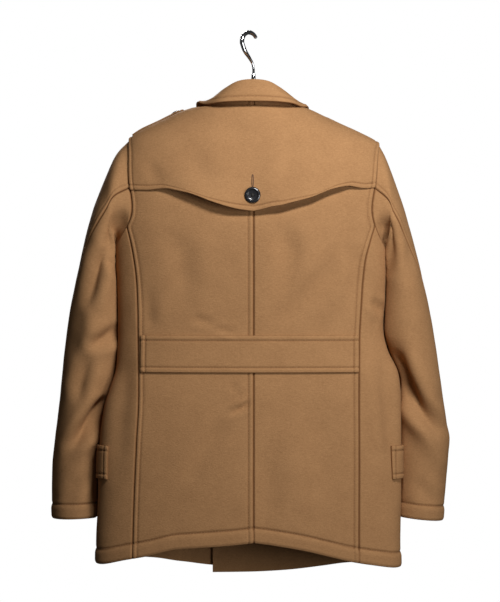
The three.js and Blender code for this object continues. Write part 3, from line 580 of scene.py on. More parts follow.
def run_along(grid, axis):
    steps = np.linalg.norm(np.diff(grid, axis=axis), axis=-1)
    zero = np.zeros_like(np.take(steps, [0], axis=axis))
    return np.concatenate([zero, np.cumsum(steps, axis=axis)], axis=axis)


def at_run(places, run, values):
    return np.stack([np.interp(places, run, values[:, k]) for k in range(3)], axis=-1)


def keep_stitches(outer, normals, distance, goal, axis):
    """Notes the line at a distance from an edge, for the thread."""
    grid, run, across = (np.moveaxis(a, axis, 0) for a in (outer, distance, normals))
    path, path_normals = [], []
    for j in range(grid.shape[1]):
        line = run[:, j]
        if line.max() < goal:
            continue
        order = np.argsort(line)
        path.append(at_run(goal, line[order], grid[order, j]))
        path_normals.append(at_run(goal, line[order], across[order, j]))
    if len(path) > 2:
        stitch_paths.append((np.array(path), unit(np.array(path_normals))))


def cloth(name, grid, normals, edges, folds=None, wall=WALL):
    """A closed wall of cloth on a grid, with the styles of its bottom, top, left and right edges."""
    bottom, top, left, right = edges
    across, up = run_along(grid, 1), run_along(grid, 0)
    runs = [(up, bottom, 0), (up[-1:] - up, top, 0), (across, left, 1), (across[:, -1:] - across, right, 1)]
    height = sum(style(run) for run, style, _ in runs)
    base = drape(grid)
    if folds:
        base = base + creases(grid, normals, *folds)
    outer = grid + normals * (height + base)[..., None]
    inner = grid + normals * (base - wall)[..., None]
    for run, style, axis in runs:
        if style in STITCH_DISTANCE:
            keep_stitches(outer, normals, run, STITCH_DISTANCE[style], axis)
    piece = wall_mesh(name, outer, inner, height)
    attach(piece, "root")
    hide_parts(name)
    return piece


GROOVE_SHADE_DEPTH = 1.5  # a dip this deep gets the painted groove shade in full


def wall_mesh(name, outer, inner, height):
    rows, columns = outer.shape[:2]
    shift = rows * columns
    index = np.arange(shift).reshape(rows, columns)
    a, b, c, d = index[:-1, :-1], index[:-1, 1:], index[1:, 1:], index[1:, :-1]
    cells = np.stack([a, b, c, d], axis=-1).reshape(-1, 4)
    rim = np.concatenate([index[0], index[1:, -1], index[-1, -2::-1], index[-2:0:-1, 0]])
    after = np.roll(rim, -1)
    sides = np.stack([rim, rim + shift, after + shift, after], axis=-1)
    faces = np.concatenate([cells, cells[:, [0, 3, 2, 1]] + shift, sides])
    points = np.concatenate([outer.reshape(-1, 3), inner.reshape(-1, 3)])
    corners = points[faces]
    out = np.cross(corners[:, 2] - corners[:, 0], corners[:, 3] - corners[:, 1])
    if (corners.mean(axis=1) * out).sum() < 0:
        faces = faces[:, ::-1]
    mesh = bpy.data.meshes.new(name)
    mesh.from_pydata(row(points).tolist(), [], faces.tolist())
    # Painted shade: the outer face's dips at seams, stitch lines, hems and rounded edges, stored to darken
    # the wool's colour there
    groove_shade = np.concatenate([np.clip(-height.reshape(-1) / GROOVE_SHADE_DEPTH, 0, 1), np.zeros(shift)])
    layer = mesh.attributes.new("groove_shade", "FLOAT", "POINT")
    layer.data.foreach_set("value", groove_shade.astype(np.float32))
    return add_piece(name, mesh, wool)


def add_piece(name, mesh, material=None):
    mesh.update()
    mesh.shade_smooth()
    if material:
        mesh.materials.append(material)
    piece = bpy.data.objects.new(name, mesh)
    bpy.context.scene.collection.objects.link(piece)
    return piece


# Materials
def start_material(name):
    material = bpy.data.materials.new(name)
    material.use_nodes = True
    tree = material.node_tree
    return material, tree.nodes["Principled BSDF"], tree.nodes.new, tree.links.new


def set_inputs(node, values):
    for name, value in values.items():
        node.inputs[name].default_value = value
    return node


def colour_ramp(new, dark, light, low=0.0, high=1.0):
    node = new("ShaderNodeValToRGB")
    ends = node.color_ramp.elements
    ends[0].position, ends[1].position = low, high
    ends[0].color, ends[1].color = (*dark, 1), (*light, 1)
    return node


def make_wool():
    """Melton: a short nap laid downward, a fine fibre and a faint mottle, with painted shade that darkens
    the colour in the dips of seams, stitches, hems and edges.
    """
    material, shader, new, link = start_material("wool")
    place = new("ShaderNodeTexCoord")
    lay = set_inputs(new("ShaderNodeMapping"), {"Scale": (1, 1, 2.2)})
    mottle = set_inputs(new("ShaderNodeTexNoise"), {"Scale": 26, "Detail": 5, "Roughness": 0.6})
    fibre = set_inputs(new("ShaderNodeTexNoise"), {"Scale": 900, "Detail": 4, "Roughness": 0.7})
    nap = set_inputs(
        new("ShaderNodeTexNoise"), {"Scale": 240, "Detail": 6, "Roughness": 0.75, "Distortion": 0.6}
    )
    link(place.outputs["Object"], lay.inputs["Vector"])
    link(place.outputs["Object"], mottle.inputs["Vector"])
    for texture in (fibre, nap):
        link(lay.outputs["Vector"], texture.inputs["Vector"])

    spots = set_inputs(new("ShaderNodeMath"), {1: 0.3})
    spots.operation = "MULTIPLY"
    mix = set_inputs(new("ShaderNodeMath"), {1: 0.95})
    mix.operation = "MULTIPLY_ADD"
    colours = colour_ramp(new, (0.36, 0.185, 0.08), (0.50, 0.268, 0.12), 0.42, 0.82)
    # Painted shade: the colour is multiplied by a grey-brown where the cloth dips at seams, stitches, hems
    # and edges
    groove_shade = new("ShaderNodeAttribute")
    groove_shade.attribute_name = "groove_shade"
    darken = new("ShaderNodeMix")
    darken.data_type = "RGBA"
    darken.blend_type = "MULTIPLY"
    set_inputs(darken, {"B": (0.5, 0.42, 0.36, 1)})
    link(mottle.outputs["Fac"], spots.inputs[0])
    link(nap.outputs["Fac"], mix.inputs[0])
    link(spots.outputs[0], mix.inputs[2])
    link(mix.outputs[0], colours.inputs["Fac"])
    link(groove_shade.outputs["Fac"], darken.inputs["Factor"])
    link(colours.outputs["Color"], darken.inputs["A"])
    link(darken.outputs["Result"], shader.inputs["Base Color"])

    bump_nap = set_inputs(new("ShaderNodeBump"), {"Strength": 0.6, "Distance": 0.0012})
    bump_fibre = set_inputs(new("ShaderNodeBump"), {"Strength": 0.3, "Distance": 0.0005})
    link(nap.outputs["Fac"], bump_nap.inputs["Height"])
    link(fibre.outputs["Fac"], bump_fibre.inputs["Height"])
    link(bump_nap.outputs["Normal"], bump_fibre.inputs["Normal"])
    link(bump_fibre.outputs["Normal"], shader.inputs["Normal"])
    set_inputs(shader, {"Roughness": 0.95, "Specular IOR Level": 0.08})
    set_inputs(shader, {"Sheen Weight": 0.04, "Sheen Roughness": 0.4, "Sheen Tint": (0.95, 0.72, 0.48, 1)})
    return material


def make_simple(name, dark, light, scale, roughness, metallic=0.0, coat=0.0):
    """A material whose colour and roughness vary with a noise."""
    material, shader, new, link = start_material(name)
    place = new("ShaderNodeTexCoord")
    noise = set_inputs(new("ShaderNodeTexNoise"), {"Scale": scale, "Detail": 6})
    colours = colour_ramp(new, dark, light)
    rough = set_inputs(new("ShaderNodeMapRange"), {"To Min": roughness * 0.8, "To Max": roughness * 1.2})
    link(place.outputs["Object"], noise.inputs["Vector"])
    link(noise.outputs["Fac"], colours.inputs["Fac"])
    link(colours.outputs["Color"], shader.inputs["Base Color"])
    link(noise.outputs["Fac"], rough.inputs["Value"])
    link(rough.outputs["Result"], shader.inputs["Roughness"])
    set_inputs(shader, {"Metallic": metallic, "Coat Weight": coat})
    return material


def make_wood():
    material, shader, new, link = start_material("varnished_wood")
    place = new("ShaderNodeTexCoord")
    stretch = set_inputs(new("ShaderNodeMapping"), {"Scale": (4, 60, 60)})
    grain = set_inputs(new("ShaderNodeTexNoise"), {"Scale": 3, "Detail": 8})
    colours = colour_ramp(new, (0.10, 0.05, 0.025), (0.27, 0.15, 0.08))
    link(place.outputs["Object"], stretch.inputs["Vector"])
    link(stretch.outputs["Vector"], grain.inputs["Vector"])
    link(grain.outputs["Fac"], colours.inputs["Fac"])
    link(colours.outputs["Color"], shader.inputs["Base Color"])
    set_inputs(shader, {"Roughness": 0.4, "Coat Weight": 0.4})
    return material


wool = make_wool()
thread = make_simple("thread", (0.33, 0.18, 0.08), (0.45, 0.26, 0.12), 400, 0.8)
dark_thread = make_simple("dark_thread", (0.02, 0.018, 0.016), (0.05, 0.045, 0.04), 500, 0.7)
brown_thread = make_simple("brown_thread", (0.10, 0.05, 0.025), (0.2, 0.1, 0.05), 500, 0.75)
horn = make_simple("dark_horn", (0.008, 0.008, 0.009), (0.03, 0.03, 0.034), 60, 0.22, coat=0.5)
chrome = make_simple("chrome", (0.62, 0.63, 0.65), (0.78, 0.79, 0.81), 90, 0.12, metallic=1.0)
wood = make_wood()


# Body panels
BACK_CUT = 14 / 20  # the share of a panel's height below the armhole
NECK_CUT = 3 / 7  # the share of a back's top edge that is the neck
SHOULDER_CUT = 4 / 12  # the share of a front's top edge that is the shoulder
FRONT_JOINT = 240  # where on the armhole's rim the front seam ends
RIM_END = 359.999  # the shoulder tip again, short of 360, which would count as 0
EDGE_ANGLE = 106.0  # about where a front's edge meets the hem
SEAM_BEND = 90  # the height over which a seam bends to meet the armhole
LAYER = WALL + 3.4  # how far the left front stands off, to clear the right one
LAYER_ENDS = {"x": 150, "over_x": 45, "z": 250, "over_z": 40}  # where it comes down to the body
# How deep the cloth sinks under the flap and under the collar, from which z up and over what height
SETTLE = {"flap": 1.4, "flap_z": 205, "flap_over": 60, "collar": 2.4, "collar_z": 322, "collar_over": 14}
# How deep the back sinks at the flap's free edge, as a share of the flap's stand-off, and how far around it
HOLLOW = {"deep": 0.6, "below": 18, "above": 22, "fade": 40}
HEM_ABOUT = -450.0  # about the hem's height, to find where a seam meets it
HEM_LINES = (22, 24, 25, 26, 27, 28, 30)  # grid lines at the hem's stitches, in mm from its edge
PANEL = {"back": (212, 750), "side": (250, 560), "front": (290, 700)}  # about how wide and long


def lerp(a, b, t):
    return a + (b - a) * t


def panel_shares(name):
    width, length = PANEL[name]
    return shares(width), np.unique(np.concatenate([shares(length), np.array(HEM_LINES) / length]))


def seam_line(side, rows, face, turn):
    """A seam from the hem to the armhole, as a function of 0 to 1."""
    hem_x = read(rows, "z", side["name"], HEM_ABOUT)
    bottom = read(HEM, "angle", side["name"], angle_at(side, hem_x, HEM_ABOUT, face))
    end_angle, end_z = armhole(side, turn)
    last_angle = angle_at(side, read(rows, "z", side["name"], end_z), end_z, face)

    def line(t):
        z = lerp(bottom, end_z, t)
        angle = angle_at(side, read(rows, "z", side["name"], z), z, face)
        return angle + (end_angle - last_angle) * ramp((z - end_z) / SEAM_BEND + 1), z

    return line


def hem_line(side, start, end):
    def line(t):
        angle = lerp(start, end, t)
        return angle, read(HEM, "angle", side["name"], angle)
    return line


def shoulder_line(side, t):
    z = lerp(side["tip"], read(NECK, "angle", "z", 0.0), np.linspace(0, 1, 30))
    return spread(side, np.zeros(30), z, t)


def neck_line(side, start, end, t):
    angle = np.linspace(start, end, 30)
    return spread(side, angle, read(NECK, "angle", "z", angle), t)


def roll_x(z):
    return GORGE[0] + (z - GORGE[1]) / (BREAK_Z - GORGE[1]) * (-OVERLAP - GORGE[0])


def layer(side, angle, z):
    """How far the left front stands out, to pass over the right one."""
    if side["sign"] > 0:
        return np.zeros_like(z)
    x = read(BODY, "z", side["name"], z) * np.cos(np.radians(angle))
    across = ramp((LAYER_ENDS["x"] - x) / LAYER_ENDS["over_x"])
    return LAYER * across * ramp((LAYER_ENDS["z"] - z) / LAYER_ENDS["over_z"])


def settle(z):
    """How far the cloth under the flap and the collar sinks, so that the shoulder's line stays."""
    flap = SETTLE["flap"] * ramp((z - SETTLE["flap_z"]) / SETTLE["flap_over"])
    return flap + SETTLE["collar"] * ramp((z - SETTLE["collar_z"]) / SETTLE["collar_over"])


def on_body(side, angle, z, height):
    base = body_point(side, angle, z)
    normals = body_normal(base)
    return base + normals * (np.asarray(height) - settle(z))[..., None], normals


def hollow(side, x, z):
    """How far the back sinks behind the storm flap's free edge, most where the flap stands out most."""
    edge = FLAP_EDGE[side["name"]]
    rise = z - read(edge, "x", "z", np.abs(x))
    inside = ramp((rise + HOLLOW["below"]) / HOLLOW["below"])
    inside = inside * (1 - ramp((rise - HOLLOW["above"]) / HOLLOW["fade"]))
    return HOLLOW["deep"] * read(edge, "x", "off", np.abs(x)) * inside


def make_back(side):
    princess = seam_line(side, PRINCESS, -1, side["joint"])

    def outer(v):
        return split(v, BACK_CUT, princess, lambda t: armhole(side, lerp(side["joint"], 0.0, t)))

    def centre(v):
        return np.full_like(v, -90), lerp(HEM[side["name"]][0], NECK["z"][0], v)

    def top(u):
        return split(
            u, NECK_CUT, lambda t: neck_line(side, -90, 0, t), lambda t: shoulder_line(side, 1 - t)
        )

    bottom = hem_line(side, -90, princess(np.array(0.0))[0])
    angle, z = even_patch(*panel_shares("back"), bottom, top, centre, outer)
    x = body_point(side, angle, z)[..., 0]
    grid, normals = on_body(side, angle, z, -hollow(side, x, z))
    edges = (hem_edge, seam_edge, stitched_seam if side is LEFT else seam_edge, stitched_seam)
    wall = np.maximum(WALL - settle(z), THIN)
    cloth(f"back_{side['name']}", grid, normals, edges, folds=BODY_FOLDS, wall=wall)


def make_side(side):
    back = seam_line(side, PRINCESS, -1, side["joint"])
    front = seam_line(side, SIDE_SEAM, 1, FRONT_JOINT)
    bottom = hem_line(side, back(np.array(0.0))[0], front(np.array(0.0))[0])

    def top(u):
        return armhole(side, lerp(side["joint"], FRONT_JOINT, u))

    angle, z = even_patch(*panel_shares("side"), bottom, top, back, front)
    grid, normals = on_body(side, angle, z, np.zeros_like(z))
    edges = (hem_edge, seam_edge, seam_edge, seam_edge)
    cloth(f"side_{side['name']}", grid, normals, edges, folds=BODY_FOLDS)


def make_front(side):
    seam = seam_line(side, SIDE_SEAM, 1, FRONT_JOINT)

    def outer(v):
        return split(v, BACK_CUT, seam, lambda t: armhole(side, lerp(FRONT_JOINT, RIM_END, t)))

    hem_angle = angle_at(side, -OVERLAP, read(HEM, "angle", side["name"], EDGE_ANGLE), 1)
    hem_z = read(HEM, "angle", side["name"], hem_angle)

    def edge(v):
        z = lerp(hem_z, BREAK_Z, v)
        return angle_at(side, -OVERLAP, z, 1), z

    roll_z = np.linspace(GORGE[1], BREAK_Z, 40)[1:]
    neck_angle = np.linspace(0, NECK["angle"][-1], 30)
    chain_angle = np.concatenate([neck_angle, angle_at(side, roll_x(roll_z), roll_z, 1)])
    chain_z = np.concatenate([read(NECK, "angle", "z", neck_angle), roll_z])

    def top(u):
        return split(
            u, SHOULDER_CUT,
            lambda t: shoulder_line(side, t),
            lambda t: spread(side, chain_angle, chain_z, t),
        )

    bottom = hem_line(side, seam(np.array(0.0))[0], hem_angle)
    angle, z = even_patch(*panel_shares("front"), bottom, top, outer, edge)
    grid, normals = on_body(side, angle, z, layer(side, angle, z))
    edges = (hem_edge, seam_edge, stitched_seam, free_edge)
    wall = np.maximum(WALL - settle(z), THIN)
    cloth(f"front_{side['name']}", grid, normals, edges, folds=BODY_FOLDS, wall=wall)


# Sleeves
SEAM_DRIFT = [86, 78, 67, 50, 32, 14, 2, -6, -10]  # where the back seam runs on each ring, in degrees
TUCK = {"in": 15, "forward": 8, "clear": 1.2, "rings": 4}  # the sleeves lie against the body's sides
SLEEVE_WIDTH = {"under": 230, "top": 150}  # about how wide each piece is
TOP_COLUMNS = 10  # steps of the rim that belong to the top sleeve
BACK_SEAM = 4  # the step of the rim at which the back seam starts
EVEN_FROM = 5  # from this ring on the columns are evenly spaced
RIM_BLEND = 14  # the sleeve's first stretch turns from the rim's normals to its own
CUFF_LINES = (21, 23, 24, 25, 26, 27, 28, 30)  # grid lines at the cuff's stitches, in mm from its edge


def sleeve_rim(side):
    back = np.linspace(0, side["joint"], 7)
    under = np.linspace(side["joint"], FRONT_JOINT, 13)[1:]
    front = np.linspace(FRONT_JOINT, 360, 7)[1:]
    rim = np.concatenate([back, under, front])
    return np.concatenate([rim[BACK_SEAM:-1], rim[:BACK_SEAM + 1] + 360])


def sleeve_ring(side, i, turn):
    """One ring round the sleeve: 0 at its outer side, 90 at the back."""
    rows = SLEEVE[side["name"]]
    tuck = ramp((i + 2) / TUCK["rings"])
    outer = np.array([side["sign"] * rows["outer_x"][i], rows["outer_z"][i]])
    inner = np.array([side["sign"] * (rows["inner_x"][i] - TUCK["in"] * tuck), rows["inner_z"][i]])
    middle, reach = (outer + inner) / 2, (outer - inner) / 2
    angle = np.radians(turn)
    x = middle[0] + reach[0] * np.cos(angle)
    z = middle[1] + reach[1] * np.cos(angle)
    y = rows["y"][i] + TUCK["forward"] * tuck - rows["deep"][i] * np.sin(angle)
    return clear(np.stack([x, y, z], axis=-1), TUCK["clear"])


def make_sleeve(side):
    rim = sleeve_rim(side)
    count = len(rim) - 1
    under_count = count - TOP_COLUMNS
    under_u, top_u = shares(SLEEVE_WIDTH["under"]), shares(SLEEVE_WIDTH["top"])
    column = np.concatenate([under_u * under_count, under_count + top_u[1:] * TOP_COLUMNS])
    turn = np.interp(column, np.arange(count + 1), rim)
    is_under = column <= under_count
    even = np.where(is_under, column / under_count, (column - under_count) / TOP_COLUMNS)
    first = np.where(is_under, rim[0], rim[under_count])
    last = np.where(is_under, rim[under_count], rim[-1])
    rim_angle, rim_z = armhole(side, turn)
    edge, edge_normals = on_body(side, rim_angle, rim_z, np.zeros_like(rim_z))
    control = [edge]
    for i in range(len(SLEEVE[side["name"]]["y"])):
        drift = SEAM_DRIFT[min(i, len(SEAM_DRIFT) - 1)]
        blend = min((i + 1) / EVEN_FROM, 1)
        start = np.where(is_under, drift, rim[under_count])
        end = np.where(is_under, rim[under_count], 360 + drift)
        share = even * blend + (turn - first) / (last - first) * (1 - blend)
        control.append(sleeve_ring(side, i, start + (end - start) * share))
    control = np.array(control)
    mean_run = run_along(control, 0).mean(axis=1)
    length = mean_run[-1]
    v = np.unique(np.concatenate([shares(length), 1 - np.array(CUFF_LINES) / length]))
    grid = smooth_grid(control, 0, np.interp(v * length, mean_run, np.arange(len(mean_run))))
    normals = grid_normals(grid, wraps=True) * side["sign"]
    own = ramp(v * length / RIM_BLEND)[:, None, None]
    normals = unit(normals * own + edge_normals[None] * (1 - own))
    cut = len(under_u)
    for name, part in (("under_sleeve", slice(0, cut)), ("top_sleeve", slice(cut - 1, None))):
        right_edge = stitched_seam if name == "top_sleeve" else seam_edge
        edges = (hem_edge, seam_edge, seam_edge, right_edge)
        cloth(f"{name}_{side['name']}", grid[::-1, part], normals[::-1, part], edges, folds=ARM_FOLDS)


# Storm flap
FLAP_LIFT = 0.4
FLAP_WALL = 2.4
FLAP_TOP_Z = 331
FLAP_STAND = 1.25  # how much of the table's off shows as height
FLAP_CURVE = 2.4  # how soon the flap comes down to the body above its free edge
FLAP_CUT = 4 / 9  # the share of a half's top edge that is level
FLAP_BEHIND = 2.0  # degrees by which the flap's ridge stays behind the shoulder's
FLAP_SIZE = {"half": 215, "deep": 165}


def flap_stand(side, x, share):
    """The height of the flap's outer face over the body, at a share of its depth up from its free edge."""
    off = read(FLAP_EDGE[side["name"]], "x", "off", np.abs(x))
    return FLAP_LIFT + FLAP_WALL + FLAP_STAND * off * (1 - share) ** FLAP_CURVE


def flap_height(side, x, z):
    low = read(FLAP_EDGE[side["name"]], "x", "z", np.abs(x))
    return flap_stand(side, x, np.clip((z - low) / (FLAP_TOP_Z - low), 0, 1))


def flap_half(side, u, v):
    edge = FLAP_EDGE[side["name"]]
    span = side["tip"] - side["under"]
    end_turn = math.degrees(math.acos((2 * edge["z"][-1] - side["tip"] - side["under"]) / span))
    start = armhole(side, np.array(end_turn))
    reach = abs(body_point(side, *start)[0])

    def ends(t):
        return armhole(side, lerp(end_turn, FLAP_BEHIND, t))

    def bottom(t):
        z = read(edge, "x", "z", reach * t)
        return angle_at(side, reach * t, z, -1), z

    def centre(t):
        return np.full_like(t, -90), lerp(edge["z"][0], FLAP_TOP_Z, t)

    def top(t):
        ridge_z = np.linspace(FLAP_TOP_Z, ends(np.array(1.0))[1], 20)
        flat = np.linspace(-90, -FLAP_BEHIND, 20)
        return split(
            t, FLAP_CUT,
            lambda s: spread(side, flat, np.full(20, float(FLAP_TOP_Z)), s),
            lambda s: spread(side, np.full(20, -FLAP_BEHIND), ridge_z, s),
        )

    angle, z = patch(u, v, bottom, top, centre, ends)
    x = body_point(side, angle, z)[..., 0]
    return on_body(side, angle, z, flap_stand(side, x, v[:, None]))


def make_flap():
    half_u = shares(FLAP_SIZE["half"], near_start=False)
    v = shares(FLAP_SIZE["deep"])
    left, left_normals = flap_half(LEFT, half_u, v)
    right, right_normals = flap_half(RIGHT, half_u, v)
    grid = np.concatenate([left[:, ::-1], right[:, 1:]], axis=1)
    normals = np.concatenate([left_normals[:, ::-1], right_normals[:, 1:]], axis=1)
    edges = (free_edge, plain, stitched_seam, stitched_seam)
    cloth("storm_flap", grid, normals, edges, folds=(FLAP_FOLDS, FRONT_FOLDS), wall=FLAP_WALL)


# Belt, pocket flaps, lapels, collar and epaulettes
BELT = {"left": 190, "right": 177, "bottom": -121, "top": -58, "lift": 0.8}


def make_belt():
    x = shares(BELT["left"] + BELT["right"]) * (BELT["left"] + BELT["right"]) - BELT["left"]
    z = lerp(BELT["bottom"], BELT["top"], shares(BELT["top"] - BELT["bottom"], step=4))
    xx, zz = np.meshgrid(x, z)
    left = body_point(LEFT, angle_at(LEFT, np.clip(-xx, 0, None), zz, -1), zz)
    right = body_point(RIGHT, angle_at(RIGHT, np.clip(xx, 0, None), zz, -1), zz)
    base = np.where(xx[..., None] < 0, left, right)
    normals = body_normal(base)
    grid = base + normals * (BELT["lift"] + WALL)
    edges = (free_edge, free_edge, free_edge, free_edge)
    cloth("half_belt", grid, normals, edges, folds=BODY_FOLDS)


POCKET = {"top": -246, "bottom": -303, "from": -22, "to_x": 157, "lift": 0.8, "width": 175}


def make_pocket_flap(side):
    end = angle_at(side, POCKET["to_x"], POCKET["top"], 1)
    chain = np.linspace(POCKET["from"], end, 60)
    u = shares(POCKET["width"], step=4)
    angle, _ = spread(side, chain, np.full(60, float(POCKET["top"])), u)
    z = lerp(POCKET["bottom"], POCKET["top"], shares(POCKET["top"] - POCKET["bottom"], step=4))
    angle, z = np.meshgrid(angle, z)
    grid, normals = on_body(side, angle, z, np.full_like(z, POCKET["lift"] + WALL))
    edges = (free_edge, free_edge, free_edge, free_edge)
    name = f"pocket_flap_{side['name']}"
    cloth(name, grid, normals, edges, folds=BODY_FOLDS)


LAPEL = {"tip_x": 122, "tip_z": 252, "lift": 0.7, "width": 80, "length": 200}
# The lapels' lower ends: the roll's place, the outer edge's place and how far that edge bellies out
LAPEL_LOW = {
    "left": {"z": BREAK_Z + 4, "outer": (roll_x(BREAK_Z + 4) + 8, BREAK_Z + 4), "belly": 16},
    "right": {"z": 207, "outer": (50, 146), "belly": 8},
}


def make_lapel(side):
    low = LAPEL_LOW[side["name"]]

    def inner(t):
        z = lerp(low["z"], GORGE[1] - 3, t)
        return roll_x(z) + 1, z

    def outer(t):
        x = lerp(low["outer"][0], LAPEL["tip_x"], t) + low["belly"] * np.sin(np.pi * t)
        return x, lerp(low["outer"][1], LAPEL["tip_z"], t)

    def line(t, at):
        a, b = outer(np.array(at)), inner(np.array(at))
        return lerp(a[0], b[0], t), lerp(a[1], b[1], t)

    u, v = shares(LAPEL["width"], step=5), shares(LAPEL["length"])
    x, z = patch(u, v, lambda t: line(t, 0.0), lambda t: line(t, 1.0), outer, inner)
    angle = angle_at(side, x, z, 1)
    grid, normals = on_body(side, angle, z, layer(side, angle, z) + LAPEL["lift"] + WALL)
    edges = (plain, free_edge, free_edge, plain)
    cloth(f"lapel_{side['name']}", grid, normals, edges, folds=BODY_FOLDS)


COLLAR_WALL = 2.4
COLLAR_SINK = 2.4  # how far the flap under the collar has sunk into the neck
COLLAR_SIZE = {"length": 430, "fall": 52}
# Steps from the fold or the foot of the collar, away from the neck and up
STAND = {"top": (-4.4, -6.4), "foot": (-4.5, 0.6)}
FALL = {"inside": (-4.4, -0.9), "brow": (2.6, -2.2), "middle": (2.0, 1.5), "lower": (1.2, 0)}
FALL_SHARE = {"middle": 0.45, "lower": 0.78}


def make_collar():
    sides = []
    for side in (LEFT, RIGHT):
        angle = COLLAR["angle"]
        foot, _ = on_body(side, angle, read(NECK, "angle", "z", angle), np.zeros_like(angle))
        fold = np.stack([side["sign"] * COLLAR["fold_x"], COLLAR["fold_y"], COLLAR["fold_z"]], axis=-1)
        edge = np.stack([side["sign"] * COLLAR["edge_x"], COLLAR["edge_y"], COLLAR["edge_z"]], axis=-1)
        sides.append(np.stack([foot, fold, edge]))
    foot, fold, edge = np.concatenate([sides[0][:, ::-1], sides[1][:, 1:]], axis=1)
    away = unit(foot * (1, 1, 0))

    def step(line, by):
        return line + by[0] * away + (0, 0, by[1])

    top, low = step(fold, STAND["top"]), step(foot, STAND["foot"])
    index = shares(COLLAR_SIZE["length"]) * (len(foot) - 1)
    stand = smooth_grid(np.stack([low, (low + top) / 2, top]), 1, index)
    stand = smooth_grid(stand, 0, np.linspace(0, 2, 14))
    edges = (plain, plain, plain, plain)
    cloth("collar_stand", stand, backward(grid_normals(stand)), edges, wall=COLLAR_WALL)

    inside, brow = step(fold, FALL["inside"]), step(fold, FALL["brow"])
    middle = step(lerp(brow, edge, FALL_SHARE["middle"]), FALL["middle"])
    lower = step(lerp(brow, edge, FALL_SHARE["lower"]), FALL["lower"])
    need = FLAP_LIFT + FLAP_WALL + COLLAR_WALL - COLLAR_SINK
    control = np.stack([inside, fold, brow, clear(middle, need), clear(lower, need), clear(edge, need)])
    path = shares(COLLAR_SIZE["fall"], near_start=False, step=2.0) * (len(control) - 1)
    fall = smooth_grid(smooth_grid(control, 1, index), 0, path)
    edges = (plain, free_edge, free_edge, free_edge)
    cloth("collar_fall", fall, backward(grid_normals(fall)), edges, wall=COLLAR_WALL)


def backward(normals):
    """Turns a collar's normals out, so that they point backward at the centre back."""
    return normals if normals[-1, normals.shape[1] // 2, 1] < 0 else -normals


EPAULETTE = {"length": 88, "width": 44, "wall": 1.8, "rise": 1.4, "taper": 0.16}
EPAULETTE_END = {"from": 0.86, "narrow": 0.38}  # the last stretch draws in toward its end
EPAULETTE_BACK = {"left": -6, "right": 2}
EPAULETTE_LIFT = {"left": 1.0, "right": 0.4}
EPAULETTE_START = {"left": 207, "right": 203}


def on_epaulette(side, u, across):
    """Places on the outer face, at shares u of its length and mm across it, and their normals."""
    x = side["sign"] * (EPAULETTE_START[side["name"]] - EPAULETTE["length"] * u)
    y = EPAULETTE_BACK[side["name"]] + EPAULETTE["width"] / 2 + across
    base = np.stack([x, y, shoulder_height(x, y)], axis=-1)
    normals = body_normal(base)
    height = EPAULETTE_LIFT[side["name"]] + EPAULETTE["wall"] + EPAULETTE["rise"] * u**2
    return base + normals * height[..., None], normals


def make_epaulette(side):
    u = shares(EPAULETTE["length"], step=4)
    v = shares(EPAULETTE["width"], step=4) * 2 - 1
    uu, vv = np.meshgrid(u, v)
    end = ramp((uu - EPAULETTE_END["from"]) / (1 - EPAULETTE_END["from"]))
    half = EPAULETTE["width"] / 2 * (1 - EPAULETTE["taper"] * uu) * (1 - EPAULETTE_END["narrow"] * end)
    grid, normals = on_epaulette(side, uu, vv * half)
    edges = (free_edge, free_edge, plain, free_edge)
    name = f"epaulette_{side['name']}"
    cloth(name, grid, normals, edges, wall=EPAULETTE["wall"])


for coat_side in (LEFT, RIGHT):
    make_back(coat_side)
    make_side(coat_side)
    make_front(coat_side)
    make_sleeve(coat_side)
    make_pocket_flap(coat_side)
    make_lapel(coat_side)
    make_epaulette(coat_side)
make_flap()
make_belt()
make_collar()


# Thread: short stitches along the noted lines, one mesh for the whole coat
STITCH = {"length": 3.4, "gap": 1.3, "thick": 0.42, "high": 1.2}
STITCH_FACES = ((0, 1, 2), (0, 2, 3), (0, 3, 4), (0, 4, 1), (5, 2, 1), (5, 3, 2), (5, 4, 3), (5, 1, 4))


def make_stitches():
    points, faces = [], []
    pitch = STITCH["length"] + STITCH["gap"]
    reach, thick = STITCH["length"] / 2, STITCH["thick"]
    for path, normals in stitch_paths:
        run = run_along(path, 0)
        if run[-1] < 4 * pitch:
            continue
        middles = np.arange(pitch, run[-1] - pitch, pitch)
        place = at_run(middles, run, path)
        up = unit(at_run(middles, run, normals))
        along = unit(at_run(middles + 1, run, path) - place)
        for p, a, n, s in zip(place, along, up, np.cross(along, up)):
            first = len(points)
            rim = (s * thick, n * thick * STITCH["high"], -s * thick, -n * thick)
            points += [p - a * reach, *(p + out for out in rim), p + a * reach]
            faces += [tuple(first + i for i in face) for face in STITCH_FACES]
    mesh = bpy.data.meshes.new("topstitching")
    mesh.from_pydata(row(points).tolist(), [], faces)
    piece = add_piece("topstitching", mesh, thread)
    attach(piece, "root")


make_stitches()


# Buttons, hook and ferrule: hard pieces, shaped in edit mode. A button's sizes are shares of its radius.
BUTTON = {"body": 0.9, "thick": 0.3, "hole_at": 0.2, "hole": 0.075, "bevel": 0.03}
BUTTON_FACE = ((0.06, 0.1), (0.12, 0), (0.1, -0.13), (0.18, -0.04))  # how far each inset goes in and up
BUTTON_SPREAD = {"top": 1.11, "foot": 0.98}
THREAD_BAR = {"radius": 0.032, "beside": 0.044, "length": 0.44, "z": 0.28}
TINY = 1e-6  # metres


def deselect():
    if bpy.context.object and bpy.context.object.mode != "OBJECT":
        bpy.ops.object.mode_set(mode="OBJECT")
    bpy.ops.object.select_all(action="DESELECT")


def pick_top(piece):
    """Selects the face that looks straight up."""
    bpy.ops.mesh.select_all(action="DESELECT")
    bpy.ops.object.mode_set(mode="OBJECT")
    for face in piece.data.polygons:
        face.select = face.normal.z > 0.9 and len(face.vertices) > 8
    bpy.ops.object.mode_set(mode="EDIT")
    bpy.ops.mesh.select_mode(type="FACE")


def apply_modifier(piece, kind, name, **settings):
    modifier = piece.modifiers.new(name, kind)
    for key, value in settings.items():
        setattr(modifier, key, value)
    bpy.context.view_layer.objects.active = piece
    bpy.ops.object.modifier_apply(modifier=name)


